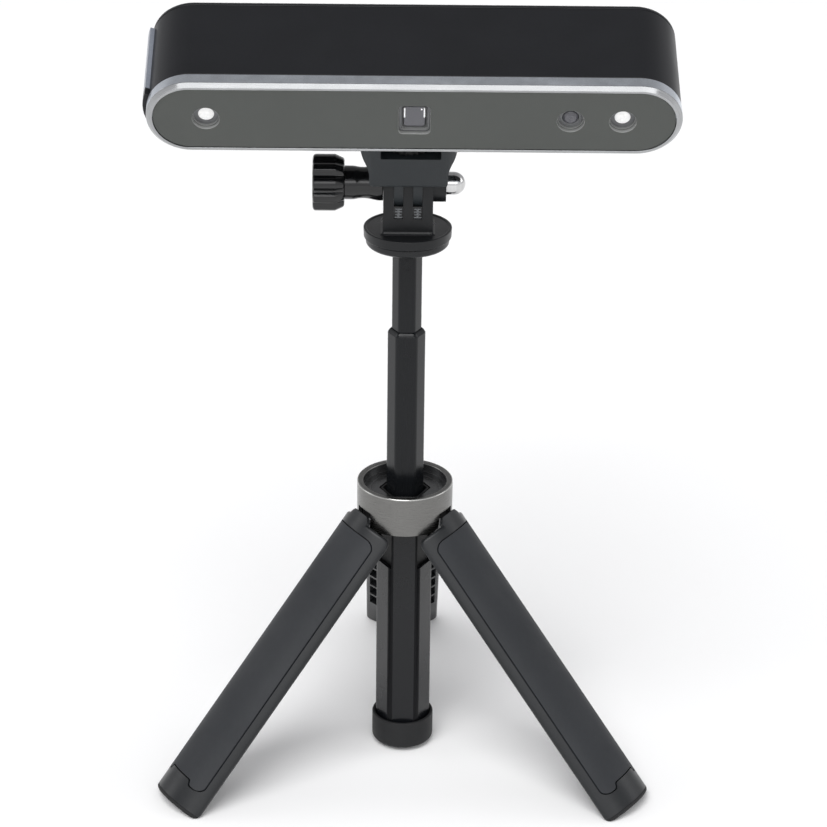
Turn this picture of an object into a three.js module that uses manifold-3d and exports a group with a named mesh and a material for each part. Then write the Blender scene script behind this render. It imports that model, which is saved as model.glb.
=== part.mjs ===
// A handheld stereo 3-D scanner on a tilting head and a folding mini tripod.
// Millimetres, +Z up. The origin is the centre of the flat end of the tripod's centre column,
// the scanner looks along -Y, and the three feet stand FOOT_DROP below the origin.
import * as THREE from "three";
import { mergeVertices } from "three/addons/utils/BufferGeometryUtils.js";
import Module from "manifold-3d";

const wasm = await Module();
wasm.setup();

const RAD = Math.PI / 180;

// ---- driving dimensions: scanner head ----
const HEAD_WIDTH = 154.6;
const HEAD_HEIGHT = 25.6;
const HEAD_FRONT = -19.0; // front land of the bezel, measured along the head's depth
const HEAD_BACK = 19.2;
const HEAD_OFFSET_X = 1.35; // the head sits this far to the right of the pole
const HEAD_PITCH = 21.5 * RAD; // looking down
const HEAD_SEAT = 28.4; // height of the head's underside above the tilt axis
const BEZEL_CHAMFER = 1.1;
const BEZEL_BACK = -14.2;
const WINDOW_INSET = 1.9;
const WINDOW_FACE = -18.7;
const WINDOW_THICKNESS = 1.1;
const SHELL_WALL = 1.8;
const SHELL_BACK = 16.9;
const CAMERA_X = 60; // infra-red cameras sit at plus and minus this
const COLOUR_CAMERA_X = 45;
const OPTICS_FRONT = -16.8;
const PROJECTOR_BACK = -7;
const BOARD_BACK = 9;
const INSERT_RADIUS = 4.7;
const INSERT_HEIGHT = 7;
const BUTTON_X = 30;
const BUTTON_RADIUS = 4;
const LIGHT_X = 20;
const LIGHT_RADIUS = 1.1;
const USB_X = -30;
const USB_WIDTH = 8.6;
const USB_HEIGHT = 3.2;
const SCREW_X = 60;
const SCREW_Z = 8.9;

// ---- driving dimensions: mount and tilt joint ----
const MOUNT_WIDTH = 29.2;
const MOUNT_DEPTH = 21.8;
const MOUNT_BOTTOM = 6.9;
const MOUNT_WAIST = 11.7; // half width of the mount below its shoulders
const MOUNT_SHOULDERS = { low: 14.3, high: 19.6 };
const MOUNT_TOP = 27.6;
const SLOT_WIDTH = 17.9;
const SLOT_BOTTOM = 19.1;
const SLOT_TOP = 25.0;
const WHEEL_RADIUS = 10.2;
const QUARTER_INCH = 3.1; // radius of the 1/4 inch threads
const TILT_AXIS_Z = 192.5;
const PRONG_WIDTH = 15.0; // all three prongs together
const PRONG_DEPTH = 12.8;
const SLOT_OUTER = 4.3; // the two slots lie between these distances from the middle
const SLOT_INNER = 1.45;
const TONGUE_RADIUS = 7.2;
const TONGUE_PLAY = 0.15; // gap beside each tongue in its slot
const BOLT_RADIUS = 2.4;
const BOLT_END = 15.3;
const BOSS_RADIUS = 5.6;
const BOSS_END = 11.4;
const KNOB_NECK_END = -19.2;
const KNOB_END = -28.8;
const KNOB_RADIUS = 8.7;

// ---- driving dimensions: pole ----
const FLANGE_RADIUS = 13.45;
const FLANGE_TOP = 178.45;
const FLANGE_BOTTOM = 175.5;
const POLE_HEAD_RADIUS = 12.7;
const POLE_HEAD_BOTTOM = 172.65;
const UPPER_POLE = { across: 4.55, bore: 3.9, bottom: 128, top: 172.5 }; // across = corner radius
const LOWER_POLE = { across: 5.85, bore: 5.15, bottom: 58.5, top: 144.9 };

// ---- driving dimensions: tripod ----
const COLLAR_RADIUS = 15.05;
const COLLAR_TOP = 93.1;
const COLLAR_BOTTOM = 80.2;
const CUP_RADIUS = 13.0;
const CUP_FLOOR = 90.1;
const SKIRT_BORE = 13.9;
const NOTCH_TOP = 86.1; // top of the notch over each leg's tab
const NOTCH_HALF = 3.75;
const NOTCH_FLARE = 2.1;
const HUB_RADIUS = 13.6;
const HUB_TOP = 88.8;
const HUB_BOTTOM = 80.3;
const SPIGOT_BOTTOM = 64.0;
const BAY_HALF = 3.6; // half width of the slot that a leg's tab swings in
const COLUMN_ACROSS = 8.7;
const COLUMN_BORE = 7.75;
const COLUMN_TOP = 80.0;
const WINDOW_SILL = 65.0; // where the recess behind each leg begins
const WINDOW_HALF = 4.6; // half width of that recess
const CAP_RADIUS = 9.84;
const CAP_RIM = 9.6;
const CAP_FLOOR = 1.8;
const FOOT_DROP = 1.0;

// ---- driving dimensions: legs, drawn closed round the column ----
const LEG_AZIMUTHS = { left: -150, right: -30, rear: 90 };
const LEG_OPEN = 40.737 * RAD;
const LEG_HINGE = { out: 10.4, up: 85.1 };
const LEG_RADIUS = 14.95;
const LEG_WALL_IN = 13.0;
const LEG_RIB_IN = 10.2;
const LEG_HALF_ANGLE = 59 * RAD;
const LEG_SHOULDER = 79.4;
const LEG_END = -27.0;
const LEG_CORNER = 2.5; // the leg's corners, seen from outside
const POCKET_START = -8;
const POCKET_PITCH = 8.4;
const POCKETS = 10;
const RIB_THICKNESS = 1.4;
const SOLE_THICKNESS = 1.2;
const SOLE_IN = 9.0;
const PAD_TOP = 75.8;
const PAD_BOTTOM = -19.3;
const PAD_HALF = 10.37;
const PAD_THICKNESS = 1.2;
const PAD_SEAM = 0.25;
const TAB_HALF = 3.3;
const KNUCKLE_RADIUS = 2.3;
const PIN_RADIUS = 1.1;
const SLICE_ARCS = 8; // flats round a leg

// ---- materials ----
const finish = (color, roughness, metalness = 0) =>
  new THREE.MeshStandardMaterial({ color, roughness, metalness });

const BLACK_SHELL = finish(0x2d2e31, 0.45);
const SILVER = finish(0xb4b7ba, 0.3, 0.9);
const GLASS = finish(0x55585a, 0.08, 0.2);
const LENS = finish(0x15161c, 0.05, 0.1);
const BARREL = finish(0x1a1b1d, 0.4, 0.4);
const MOUNT_PLASTIC = finish(0x3d4145, 0.5);
const GLOSS_BLACK = finish(0x121314, 0.15);
const POLE_METAL = finish(0x33363a, 0.35, 0.8);
const COLLAR_METAL = finish(0x7a7672, 0.35, 0.8);
const LEG_PLASTIC = finish(0x3a3d40, 0.55);
const RUBBER = finish(0x404347, 0.85);
const STEEL = finish(0xa8abad, 0.3, 1);
const BRASS = finish(0xb08d4a, 0.35, 1);
const CIRCUIT = finish(0x1f4a33, 0.6);
const CHROME = finish(0xdfe2e4, 0.08, 1);

// ---- solids ----
function solidOf(geometry) {
  const bare = geometry.index ? geometry.toNonIndexed() : geometry.clone();
  bare.deleteAttribute("normal");
  bare.deleteAttribute("uv");
  const merged = mergeVertices(bare, 1e-4);
  const mesh = new wasm.Mesh({
    numProp: 3,
    vertProperties: merged.attributes.position.array,
    triVerts: new Uint32Array(merged.index.array),
  });
  return new wasm.Manifold(mesh);
}

function geometryOf(solid) {
  const mesh = solid.getMesh();
  const geometry = new THREE.BufferGeometry();
  geometry.setAttribute("position", new THREE.BufferAttribute(mesh.vertProperties, 3));
  geometry.setIndex(new THREE.BufferAttribute(mesh.triVerts, 1));
  geometry.computeVertexNormals();
  return geometry;
}

// Joins `add` to a base geometry, keeps what lies inside every `keep`, then cuts each `cut` away.
function shaped(base, { add = [], keep = [], cut = [] }) {
  let solid = solidOf(base);
  for (const geometry of add) {
    solid = solid.add(solidOf(geometry));
  }
  for (const geometry of keep) {
    solid = solid.intersect(solidOf(geometry));
  }
  for (const geometry of cut) {
    solid = solid.subtract(solidOf(geometry));
  }
  return geometryOf(solid);
}

// A box from one corner to the other.
function block([x0, x1], [y0, y1], [z0, z1]) {
  const box = new THREE.BoxGeometry(x1 - x0, y1 - y0, z1 - z0);
  return box.translate((x0 + x1) / 2, (y0 + y1) / 2, (z0 + z1) / 2);
}

// A round rod along Z, with its middle line through x, y.
function rodZ(radius, [z0, z1], { x = 0, y = 0, sides = 20 } = {}) {
  const rod = new THREE.CylinderGeometry(radius, radius, z1 - z0, sides);
  return rod.rotateX(Math.PI / 2).translate(x, y, (z0 + z1) / 2);
}

// A round rod along X through y = 0 and height z.
function rodX(radius, [x0, x1], { z = 0, sides = 20 } = {}) {
  const rod = new THREE.CylinderGeometry(radius, radius, x1 - x0, sides);
  return rod.rotateZ(Math.PI / 2).translate((x0 + x1) / 2, 0, z);
}

// A round rod along Y through x, z.
function rodY(radius, [y0, y1], { x = 0, z = 0, sides = 18 } = {}) {
  const rod = new THREE.CylinderGeometry(radius, radius, y1 - y0, sides);
  return rod.translate(x, (y0 + y1) / 2, z);
}

// A turned piece about Z from a profile of [radius, height] points, drawn upwards on the outside.
function turned(profile, sides = 28) {
  const points = profile.map(([radius, height]) => new THREE.Vector2(radius, height));
  return new THREE.LatheGeometry(points, sides).rotateX(Math.PI / 2);
}

// The same, about X: the profile's second number runs along +X.
function turnedX(profile, sides = 24) {
  return turned(profile, sides).rotateY(Math.PI / 2);
}

// An outline drawn in XY, extruded up Z from z0 to z1, with its edges bevelled if asked.
function prism(shape, [z0, z1], { bevel = 0, arcs = 6 } = {}) {
  const bar = new THREE.ExtrudeGeometry(shape, {
    depth: z1 - z0 - 2 * bevel,
    curveSegments: arcs,
    bevelEnabled: bevel > 0,
    bevelThickness: bevel,
    bevelSize: bevel,
    bevelOffset: -bevel,
    bevelSegments: 1,
  });
  return bar.translate(0, 0, z0 + bevel);
}

// An outline drawn in XZ, extruded along Y from y0 to y1.
function prismY(shape, [y0, y1], options) {
  return prism(shape, [-y1, -y0], options).rotateX(Math.PI / 2);
}

// An outline drawn in YZ (first number along Y), extruded along X from x0 to x1.
function prismX(shape, [x0, x1], options) {
  return prism(shape, [x0, x1], options).rotateX(Math.PI / 2).rotateZ(Math.PI / 2);
}

// A hexagon with rounded corners, corners on the X axis.
function hexagon(across, rounding) {
  const shape = new THREE.Shape();
  const middle = across - rounding / Math.cos(30 * RAD);
  for (let corner = 0; corner < 6; corner += 1) {
    const angle = corner * 60 * RAD;
    const x = middle * Math.cos(angle);
    const y = middle * Math.sin(angle);
    shape.absarc(x, y, rounding, angle - 30 * RAD, angle + 30 * RAD, false);
  }
  shape.closePath();
  return shape;
}

// A rounded rectangle about the origin.
function roundedBox(width, height, radius) {
  const shape = new THREE.Shape();
  const x = width / 2 - radius;
  const y = height / 2 - radius;
  shape.absarc(x, -y, radius, -90 * RAD, 0, false);
  shape.absarc(x, y, radius, 0, 90 * RAD, false);
  shape.absarc(-x, y, radius, 90 * RAD, 180 * RAD, false);
  shape.absarc(-x, -y, radius, 180 * RAD, 270 * RAD, false);
  shape.closePath();
  return shape;
}

// The head's outline, drawn in by an inset all round: a bar with full round ends.
function headOutline(inset) {
  const radius = HEAD_HEIGHT / 2 - inset;
  const reach = (HEAD_WIDTH - HEAD_HEIGHT) / 2;
  const shape = new THREE.Shape();
  shape.absarc(reach, 0, radius, -90 * RAD, 90 * RAD, false);
  shape.absarc(-reach, 0, radius, 90 * RAD, 270 * RAD, false);
  shape.closePath();
  return shape;
}

const headSlab = (inset, span, options) => prismY(headOutline(inset), span, { arcs: 10, ...options });

// An outline whose radius swings between two values a number of times round, for knurls and grips.
function fluted(outer, depth, flutes, steps) {
  const shape = new THREE.Shape();
  for (let step = 0; step < flutes * steps; step += 1) {
    const angle = (step / (flutes * steps)) * 2 * Math.PI;
    const radius = outer - depth * (0.5 + 0.5 * Math.cos(angle * flutes));
    const x = radius * Math.cos(angle);
    const y = radius * Math.sin(angle);
    if (step === 0) {
      shape.moveTo(x, y);
    } else {
      shape.lineTo(x, y);
    }
  }
  shape.closePath();
  return shape;
}

// ---- scanner head, drawn about the middle of its outline ----
function frontBezel() {
  const outside = headSlab(0, [HEAD_FRONT, BEZEL_BACK + 2 * BEZEL_CHAMFER], { bevel: BEZEL_CHAMFER });
  return shaped(outside, {
    keep: [block([-90, 90], [HEAD_FRONT - 1, BEZEL_BACK], [-20, 20])],
    cut: [
      headSlab(WINDOW_INSET, [HEAD_FRONT - 1, WINDOW_FACE + WINDOW_THICKNESS + 0.1]),
      headSlab(WINDOW_INSET + 1.3, [HEAD_FRONT - 1, BEZEL_BACK + 1]),
    ],
  });
}

function frontWindow() {
  return headSlab(WINDOW_INSET + 0.12, [WINDOW_FACE, WINDOW_FACE + WINDOW_THICKNESS]);
}

function headShell() {
  const inside = headSlab(SHELL_WALL, [BEZEL_BACK - 1, SHELL_BACK + 1]);
  const bosses = [];
  const bores = [];
  for (const x of [-SCREW_X, SCREW_X]) {
    for (const z of [-SCREW_Z, SCREW_Z]) {
      bosses.push(rodY(2.4, [BOARD_BACK + 0.4, SHELL_BACK], { x, z, sides: 12 }));
      bores.push(rodY(1.1, [10.5, SHELL_BACK + 1], { x, z, sides: 12 }));
    }
  }
  const floor = -HEAD_HEIGHT / 2;
  const top = floor + INSERT_HEIGHT;
  const insertWall = rodZ(INSERT_RADIUS + 2, [floor + 0.5, top + 1.5], { x: -HEAD_OFFSET_X });
  const insertBore = rodZ(INSERT_RADIUS + 0.1, [floor - 1, top + 0.2], { x: -HEAD_OFFSET_X });
  const tube = shaped(headSlab(0.1, [BEZEL_BACK + 0.1, SHELL_BACK]), { cut: [inside] });
  return shaped(tube, { add: [...bosses, insertWall], cut: [...bores, insertBore] });
}

function rearCover() {
  const plate = headSlab(0.1, [SHELL_BACK - 3, HEAD_BACK], { bevel: 1.2 });
  const holes = [
    block([USB_X - 4.7, USB_X + 4.7], [0, 30], [-2, 2]),
    rodY(BUTTON_RADIUS + 0.3, [0, 30], { x: BUTTON_X }),
    rodY(LIGHT_RADIUS + 0.15, [0, 30], { x: LIGHT_X, sides: 12 }),
  ];
  for (const x of [-SCREW_X, SCREW_X]) {
    for (const z of [-SCREW_Z, SCREW_Z]) {
      holes.push(rodY(1.2, [0, 30], { x, z, sides: 12 }));
      holes.push(rodY(2.1, [HEAD_BACK - 1.3, 30], { x, z, sides: 16 }));
    }
  }
  for (let vent = 0; vent < 6; vent += 1) {
    const x = 3 * vent - 7.5;
    holes.push(block([x - 0.6, x + 0.6], [0, 30], [-5, 5]));
  }
  return shaped(plate, {
    keep: [block([-90, 90], [SHELL_BACK + 0.1, 30], [-20, 20])],
    cut: holes,
  });
}

function coverScrew() {
  const seat = HEAD_BACK - 1.25;
  return shaped(rodY(1.0, [11, seat + 0.1], { sides: 10 }), {
    add: [rodY(1.9, [seat, HEAD_BACK - 0.15], { sides: 16 })],
    cut: [block([-1.3, 1.3], [HEAD_BACK - 0.6, 30], [-0.25, 0.25])],
  });
}

function sensorBar() {
  return shaped(headSlab(4.2, [-12.5, -9.5], { arcs: 8 }), {
    cut: [
      rodY(4.2, [-20, 0], { x: -CAMERA_X }),
      rodY(4.2, [-20, 0], { x: CAMERA_X }),
      rodY(4.2, [-20, 0], { x: COLOUR_CAMERA_X }),
      block([-5.2, 5.2], [-20, 0], [-5.7, 5.7]),
    ],
  });
}

// A camera: a barrel with a stepped mouth, on a square sensor housing behind the bar.
function cameraBody(radius, mouth) {
  return shaped(rodY(radius, [OPTICS_FRONT, -9.2]), {
    add: [block([-4.8, 4.8], [-9.3, -5.5], [-4.8, 4.8])],
    cut: [rodY(mouth, [OPTICS_FRONT - 1, OPTICS_FRONT + 2.4], { sides: 20 })],
  });
}

// A lens whose front is a shallow dome, set back in its barrel's mouth.
function cameraLens(radius) {
  const rise = 0.8;
  const dome = new THREE.SphereGeometry((radius * radius + rise * rise) / (2 * rise), 14, 20);
  const front = OPTICS_FRONT + 0.7;
  dome.translate(0, front + (radius * radius + rise * rise) / (2 * rise), 0);
  return shaped(rodY(radius, [front - 0.1, OPTICS_FRONT + 2.2]), { keep: [dome] });
}

function projectorBody() {
  const face = prismY(roundedBox(8.8, 9.7, 1.2), [OPTICS_FRONT, PROJECTOR_BACK], { arcs: 2 });
  return shaped(face, {
    cut: [prismY(roundedBox(6.6, 7.2, 1.0), [OPTICS_FRONT - 1, OPTICS_FRONT + 3], { arcs: 2 })],
  });
}

function projectorLens() {
  const span = [OPTICS_FRONT + 1.2, OPTICS_FRONT + 2.8];
  return prismY(roundedBox(6.2, 6.8, 0.8), span, { bevel: 0.3, arcs: 3 });
}

function mainBoard() {
  const chips = [
    block([-12, 2], [BOARD_BACK - 0.1, BOARD_BACK + 1.4], [-6, 6]),
    block([8, 15], [BOARD_BACK - 0.1, BOARD_BACK + 1.2], [-3.5, 3.5]),
    block([-52, -40], [BOARD_BACK - 0.1, BOARD_BACK + 1.7], [-5, 3]),
    block([40, 50], [BOARD_BACK - 0.1, BOARD_BACK + 1], [-5, 5]),
  ];
  return shaped(block([-66, 66], [BOARD_BACK - 1.6, BOARD_BACK], [-8, 8.5]), { add: chips });
}

function usbSocket() {
  const outside = prismY(roundedBox(USB_WIDTH, USB_HEIGHT, 1.2), [11, HEAD_BACK - 0.4], { arcs: 2 });
  return shaped(outside, {
    cut: [prismY(roundedBox(USB_WIDTH - 0.8, USB_HEIGHT - 0.8, 0.9), [12, 30], { arcs: 2 })],
  });
}

function scanButton() {
  return shaped(rodY(BUTTON_RADIUS, [14.2, HEAD_BACK + 0.6], { sides: 24 }), {
    add: [rodY(BUTTON_RADIUS + 0.9, [14.2, 15.4], { sides: 24 })],
  });
}

function statusLight() {
  return rodY(LIGHT_RADIUS, [14, HEAD_BACK + 0.05], { sides: 16 });
}

function tripodInsert() {
  const floor = -HEAD_HEIGHT / 2;
  return shaped(prism(fluted(INSERT_RADIUS, 0.25, 12, 4), [floor + 0.2, floor + INSERT_HEIGHT]), {
    cut: [rodZ(QUARTER_INCH + 0.2, [floor - 1, floor + INSERT_HEIGHT - 1])],
  });
}

// ---- mount, drawn about the tilt axis ----
// The mount's front view: wide round the wheel, with sloping shoulders down to a narrower waist.
function mountOutline() {
  const half = MOUNT_WIDTH / 2;
  const corner = 3;
  const { low, high } = MOUNT_SHOULDERS;
  const shape = new THREE.Shape();
  shape.moveTo(half, MOUNT_TOP + 1);
  shape.lineTo(-half, MOUNT_TOP + 1);
  shape.lineTo(-half, high);
  shape.lineTo(-MOUNT_WAIST, low);
  shape.absarc(-MOUNT_WAIST + corner, MOUNT_BOTTOM + corner, corner, 180 * RAD, 270 * RAD, false);
  shape.absarc(MOUNT_WAIST - corner, MOUNT_BOTTOM + corner, corner, 270 * RAD, 360 * RAD, false);
  shape.lineTo(MOUNT_WAIST, low);
  shape.lineTo(half, high);
  shape.closePath();
  return shape;
}

function mountBody() {
  const plan = prism(roundedBox(MOUNT_WIDTH, MOUNT_DEPTH, 4.5), [MOUNT_BOTTOM, MOUNT_TOP], { arcs: 4 });
  const height = 2 * (MOUNT_TOP - MOUNT_BOTTOM);
  const front = prismY(mountOutline(), [-20, 20], { arcs: 4 });
  const flank = prismX(roundedBox(MOUNT_DEPTH, height, 2.5), [-20, 20], { arcs: 3 });
  flank.translate(0, 0, MOUNT_TOP);
  const tongues = [];
  const near = SLOT_INNER + TONGUE_PLAY;
  const far = SLOT_OUTER - TONGUE_PLAY;
  for (const span of [[-far, -near], [near, far]]) {
    tongues.push(rodX(TONGUE_RADIUS, span));
    tongues.push(block(span, [-TONGUE_RADIUS, TONGUE_RADIUS], [0, MOUNT_BOTTOM + 1]));
  }
  const body = shaped(plan, { keep: [front, flank] });
  return shaped(body, {
    add: tongues,
    cut: [
      rodZ(WHEEL_RADIUS + 0.3, [SLOT_BOTTOM, SLOT_TOP], { sides: 36 }),
      block([-SLOT_WIDTH / 2, SLOT_WIDTH / 2], [-20, 20], [SLOT_BOTTOM, SLOT_TOP]),
      rodZ(QUARTER_INCH + 0.3, [SLOT_TOP - 1, 30]),
      rodX(BOLT_RADIUS + 0.2, [-20, 20]),
    ],
  });
}

function mountPad() {
  const plan = roundedBox(MOUNT_WIDTH - 1.8, MOUNT_DEPTH - 1.8, 3.8);
  return shaped(prism(plan, [MOUNT_TOP + 0.05, HEAD_SEAT - 0.05]), {
    cut: [rodZ(QUARTER_INCH + 0.3, [20, 30])],
  });
}

function mountWheel() {
  return shaped(prism(fluted(WHEEL_RADIUS, 0.5, 30, 3), [SLOT_BOTTOM + 0.35, SLOT_TOP - 0.35]), {
    cut: [rodZ(QUARTER_INCH + 0.1, [0, 40])],
  });
}

function mountScrew() {
  return turned([
    [0, SLOT_BOTTOM + 0.35],
    [QUARTER_INCH, SLOT_BOTTOM + 0.35],
    [QUARTER_INCH, HEAD_SEAT + 4.6],
    [QUARTER_INCH - 0.5, HEAD_SEAT + 5.2],
    [0, HEAD_SEAT + 5.2],
  ], 24);
}

// ---- tilt joint, drawn about the tilt axis ----
function prongBase() {
  const down = FLANGE_BOTTOM - TILT_AXIS_Z;
  const top = FLANGE_TOP - TILT_AXIS_Z;
  const half = PRONG_DEPTH / 2;
  const flange = turned([
    [0, down],
    [FLANGE_RADIUS - 0.4, down],
    [FLANGE_RADIUS, down + 0.4],
    [FLANGE_RADIUS, top - 0.5],
    [FLANGE_RADIUS - 0.5, top],
    [0, top],
  ], 32);
  const wide = [-PRONG_WIDTH / 2, PRONG_WIDTH / 2];
  const slots = [
    block([-SLOT_OUTER, -SLOT_INNER], [-20, 20], [-9.3, 20]),
    block([SLOT_INNER, SLOT_OUTER], [-20, 20], [-9.3, 20]),
  ];
  return shaped(flange, {
    add: [
      block(wide, [-half, half], [top - 0.5, 0]),
      rodX(half, wide),
      rodX(BOSS_RADIUS, [PRONG_WIDTH / 2 - 0.5, BOSS_END]),
    ],
    cut: [...slots, rodX(BOLT_RADIUS + 0.2, [-20, 20]), rodZ(QUARTER_INCH + 0.2, [down - 1, -9.8])],
  });
}

function clampKnob() {
  const neckStart = -PRONG_WIDTH / 2 - 0.2;
  const neck = turnedX([
    [0, KNOB_NECK_END - 1],
    [5.1, KNOB_NECK_END - 1],
    [5.1, KNOB_NECK_END + 3.0],
    [4.75, KNOB_NECK_END + 4.4],
    [4.75, KNOB_NECK_END + 6.6],
    [5.4, neckStart - 1.4],
    [5.4, neckStart - 0.3],
    [5.1, neckStart],
    [0, neckStart],
  ], 20);
  const grip = prism(fluted(KNOB_RADIUS, 0.7, 10, 4), [KNOB_END, KNOB_NECK_END], { bevel: 0.6 });
  grip.rotateY(Math.PI / 2);
  return shaped(neck, {
    add: [grip],
    cut: [rodX(BOLT_RADIUS + 0.05, [KNOB_END + 2.5, 0])],
  });
}

function clampBolt() {
  return turnedX([
    [0, KNOB_END + 2.7],
    [BOLT_RADIUS, KNOB_END + 2.7],
    [BOLT_RADIUS, BOLT_END - 0.4],
    [BOLT_RADIUS - 0.4, BOLT_END],
    [0, BOLT_END],
  ], 20);
}

function acornNut() {
  const start = BOSS_END + 0.1;
  const dome = turnedX([
    [0, start],
    [3.5, start],
    [3.5, start + 2.6],
    [3.2, start + 4.0],
    [2.4, start + 5.1],
    [1.3, start + 5.7],
    [0, start + 5.9],
  ], 28);
  return shaped(dome, { cut: [rodX(BOLT_RADIUS + 0.05, [0, BOLT_END + 0.2], { sides: 20 })] });
}

// ---- pole ----
function headStud() {
  return turned([
    [0, 174.0],
    [5.0, 174.0],
    [5.0, FLANGE_BOTTOM - 0.15],
    [QUARTER_INCH, FLANGE_BOTTOM - 0.15],
    [QUARTER_INCH, 181.8],
    [QUARTER_INCH - 0.5, 182.3],
    [0, 182.3],
  ], 24);
}

function poleHead() {
  const disc = turned([
    [0, POLE_HEAD_BOTTOM],
    [POLE_HEAD_RADIUS - 0.6, POLE_HEAD_BOTTOM],
    [POLE_HEAD_RADIUS, POLE_HEAD_BOTTOM + 0.6],
    [POLE_HEAD_RADIUS, FLANGE_BOTTOM - 0.4],
    [POLE_HEAD_RADIUS - 0.3, FLANGE_BOTTOM - 0.1],
    [0, FLANGE_BOTTOM - 0.1],
  ], 32);
  const plug = prism(hexagon(UPPER_POLE.bore - 0.1, 0.7), [163, POLE_HEAD_BOTTOM + 0.5], { arcs: 2 });
  return shaped(disc, { add: [plug], cut: [rodZ(5.1, [173.9, 180])] });
}

// A dimple pressed into a pole's front face.
function dimple(face, height) {
  const press = 6;
  const sink = 0.25;
  const ball = new THREE.SphereGeometry(press, 16, 24).rotateX(Math.PI / 2);
  return ball.translate(0, -(face + press - sink), height);
}

function poleTube({ across, bore, bottom, top }, marks) {
  const face = across * Math.cos(30 * RAD);
  return shaped(prism(hexagon(across, 1.1), [bottom, top], { arcs: 2, bevel: 0.35 }), {
    cut: [
      prism(hexagon(bore, 0.7), [bottom - 1, top + 1], { arcs: 2 }),
      ...marks.map((height) => dimple(face, height)),
    ],
  });
}

function upperPole() {
  return poleTube(UPPER_POLE, [166.6, 170.2]);
}

function lowerPole() {
  const { across, bore, bottom, top } = LOWER_POLE;
  const mouth = UPPER_POLE.across + 0.2;
  const face = across * Math.cos(30 * RAD);
  return shaped(prism(hexagon(across, 1.3), [bottom, top], { arcs: 2, bevel: 0.7 }), {
    cut: [
      prism(hexagon(bore, 0.8), [bottom - 1, top - 2], { arcs: 2 }),
      prism(hexagon(mouth, 1.1), [top - 3, top + 1], { arcs: 2 }),
      dimple(face, 137),
    ],
  });
}

function upperPolePlug() {
  const { bore, bottom } = UPPER_POLE;
  return shaped(prism(hexagon(LOWER_POLE.bore - 0.1, 0.8), [bottom - 2.6, bottom - 0.1], { arcs: 2 }), {
    add: [prism(hexagon(bore - 0.1, 0.7), [bottom - 1, bottom + 5], { arcs: 2 })],
  });
}

function lowerPoleBush() {
  const { across, bottom } = LOWER_POLE;
  return shaped(prism(hexagon(COLUMN_BORE - 0.25, 1.1), [bottom, SPIGOT_BOTTOM - 0.3], { arcs: 2 }), {
    cut: [prism(hexagon(across + 0.1, 1.3), [bottom - 1, SPIGOT_BOTTOM + 1], { arcs: 2 })],
  });
}

// ---- tripod base ----
// A copy of a tool for each leg, turned round the column to that leg.
function forEachLeg(tool) {
  return Object.values(LEG_AZIMUTHS).map((azimuth) => tool().rotateZ(azimuth * RAD));
}

// The notch in the collar's skirt that a leg's tab stands in, flared at its mouth.
function tabNotch() {
  const mouth = NOTCH_HALF + NOTCH_FLARE;
  const shape = new THREE.Shape();
  shape.moveTo(-mouth, COLLAR_BOTTOM - 1);
  shape.lineTo(mouth, COLLAR_BOTTOM - 1);
  shape.lineTo(mouth, COLLAR_BOTTOM + 0.1);
  shape.lineTo(NOTCH_HALF, COLLAR_BOTTOM + 2);
  shape.lineTo(NOTCH_HALF, NOTCH_TOP);
  shape.lineTo(-NOTCH_HALF, NOTCH_TOP);
  shape.lineTo(-NOTCH_HALF, COLLAR_BOTTOM + 2);
  shape.lineTo(-mouth, COLLAR_BOTTOM + 0.1);
  shape.closePath();
  return prismX(shape, [5, 20]);
}

function collarRing() {
  const lip = 0.4;
  const ring = turned([
    [SKIRT_BORE, COLLAR_BOTTOM],
    [COLLAR_RADIUS - lip, COLLAR_BOTTOM],
    [COLLAR_RADIUS, COLLAR_BOTTOM + lip],
    [COLLAR_RADIUS, COLLAR_TOP - lip],
    [COLLAR_RADIUS - lip, COLLAR_TOP],
    [CUP_RADIUS + lip, COLLAR_TOP],
    [CUP_RADIUS, COLLAR_TOP - lip],
    [CUP_RADIUS, CUP_FLOOR - 1],
    [SKIRT_BORE, CUP_FLOOR - 1],
    [SKIRT_BORE, COLLAR_BOTTOM],
  ], 36);
  return shaped(ring, {
    add: [rodZ(CUP_RADIUS + 0.3, [CUP_FLOOR - 1, CUP_FLOOR], { sides: 36 })],
    cut: [...forEachLeg(tabNotch), prism(hexagon(8.2, 1), [80, 100], { arcs: 2 })],
  });
}

function legHub() {
  const { out, up } = LEG_HINGE;
  const bay = () => block([7.8, 20], [-BAY_HALF, BAY_HALF], [HUB_BOTTOM - 1, 87.8]);
  const pinHole = () => rodY(PIN_RADIUS + 0.1, [-9.5, 9.5], { x: out, z: up, sides: 12 });
  return shaped(rodZ(HUB_RADIUS, [HUB_BOTTOM, HUB_TOP], { sides: 36 }), {
    add: [prism(hexagon(COLUMN_BORE - 0.25, 1.1), [SPIGOT_BOTTOM, HUB_BOTTOM + 1], { arcs: 2 })],
    cut: [
      prism(hexagon(LOWER_POLE.across + 0.4, 1.2), [50, 100], { arcs: 2 }),
      prism(hexagon(8.1, 1), [86, 100], { arcs: 2 }),
      ...forEachLeg(bay),
      ...forEachLeg(pinHole),
    ],
  });
}

function columnBush() {
  return shaped(prism(hexagon(7.9, 1), [86.1, CUP_FLOOR - 0.1], { arcs: 2, bevel: 0.4 }), {
    cut: [prism(hexagon(LOWER_POLE.across + 0.35, 1.2), [80, 100], { arcs: 2 })],
  });
}

function columnTube() {
  const recess = () => block([5.5, 12], [-WINDOW_HALF, WINDOW_HALF], [WINDOW_SILL, COLUMN_TOP + 1]);
  return shaped(prism(hexagon(COLUMN_ACROSS, 1.3), [CAP_FLOOR + 0.2, COLUMN_TOP], { arcs: 2 }), {
    cut: [prism(hexagon(COLUMN_BORE, 0.8), [0, 100], { arcs: 2 }), ...forEachLeg(recess)],
  });
}

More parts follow.
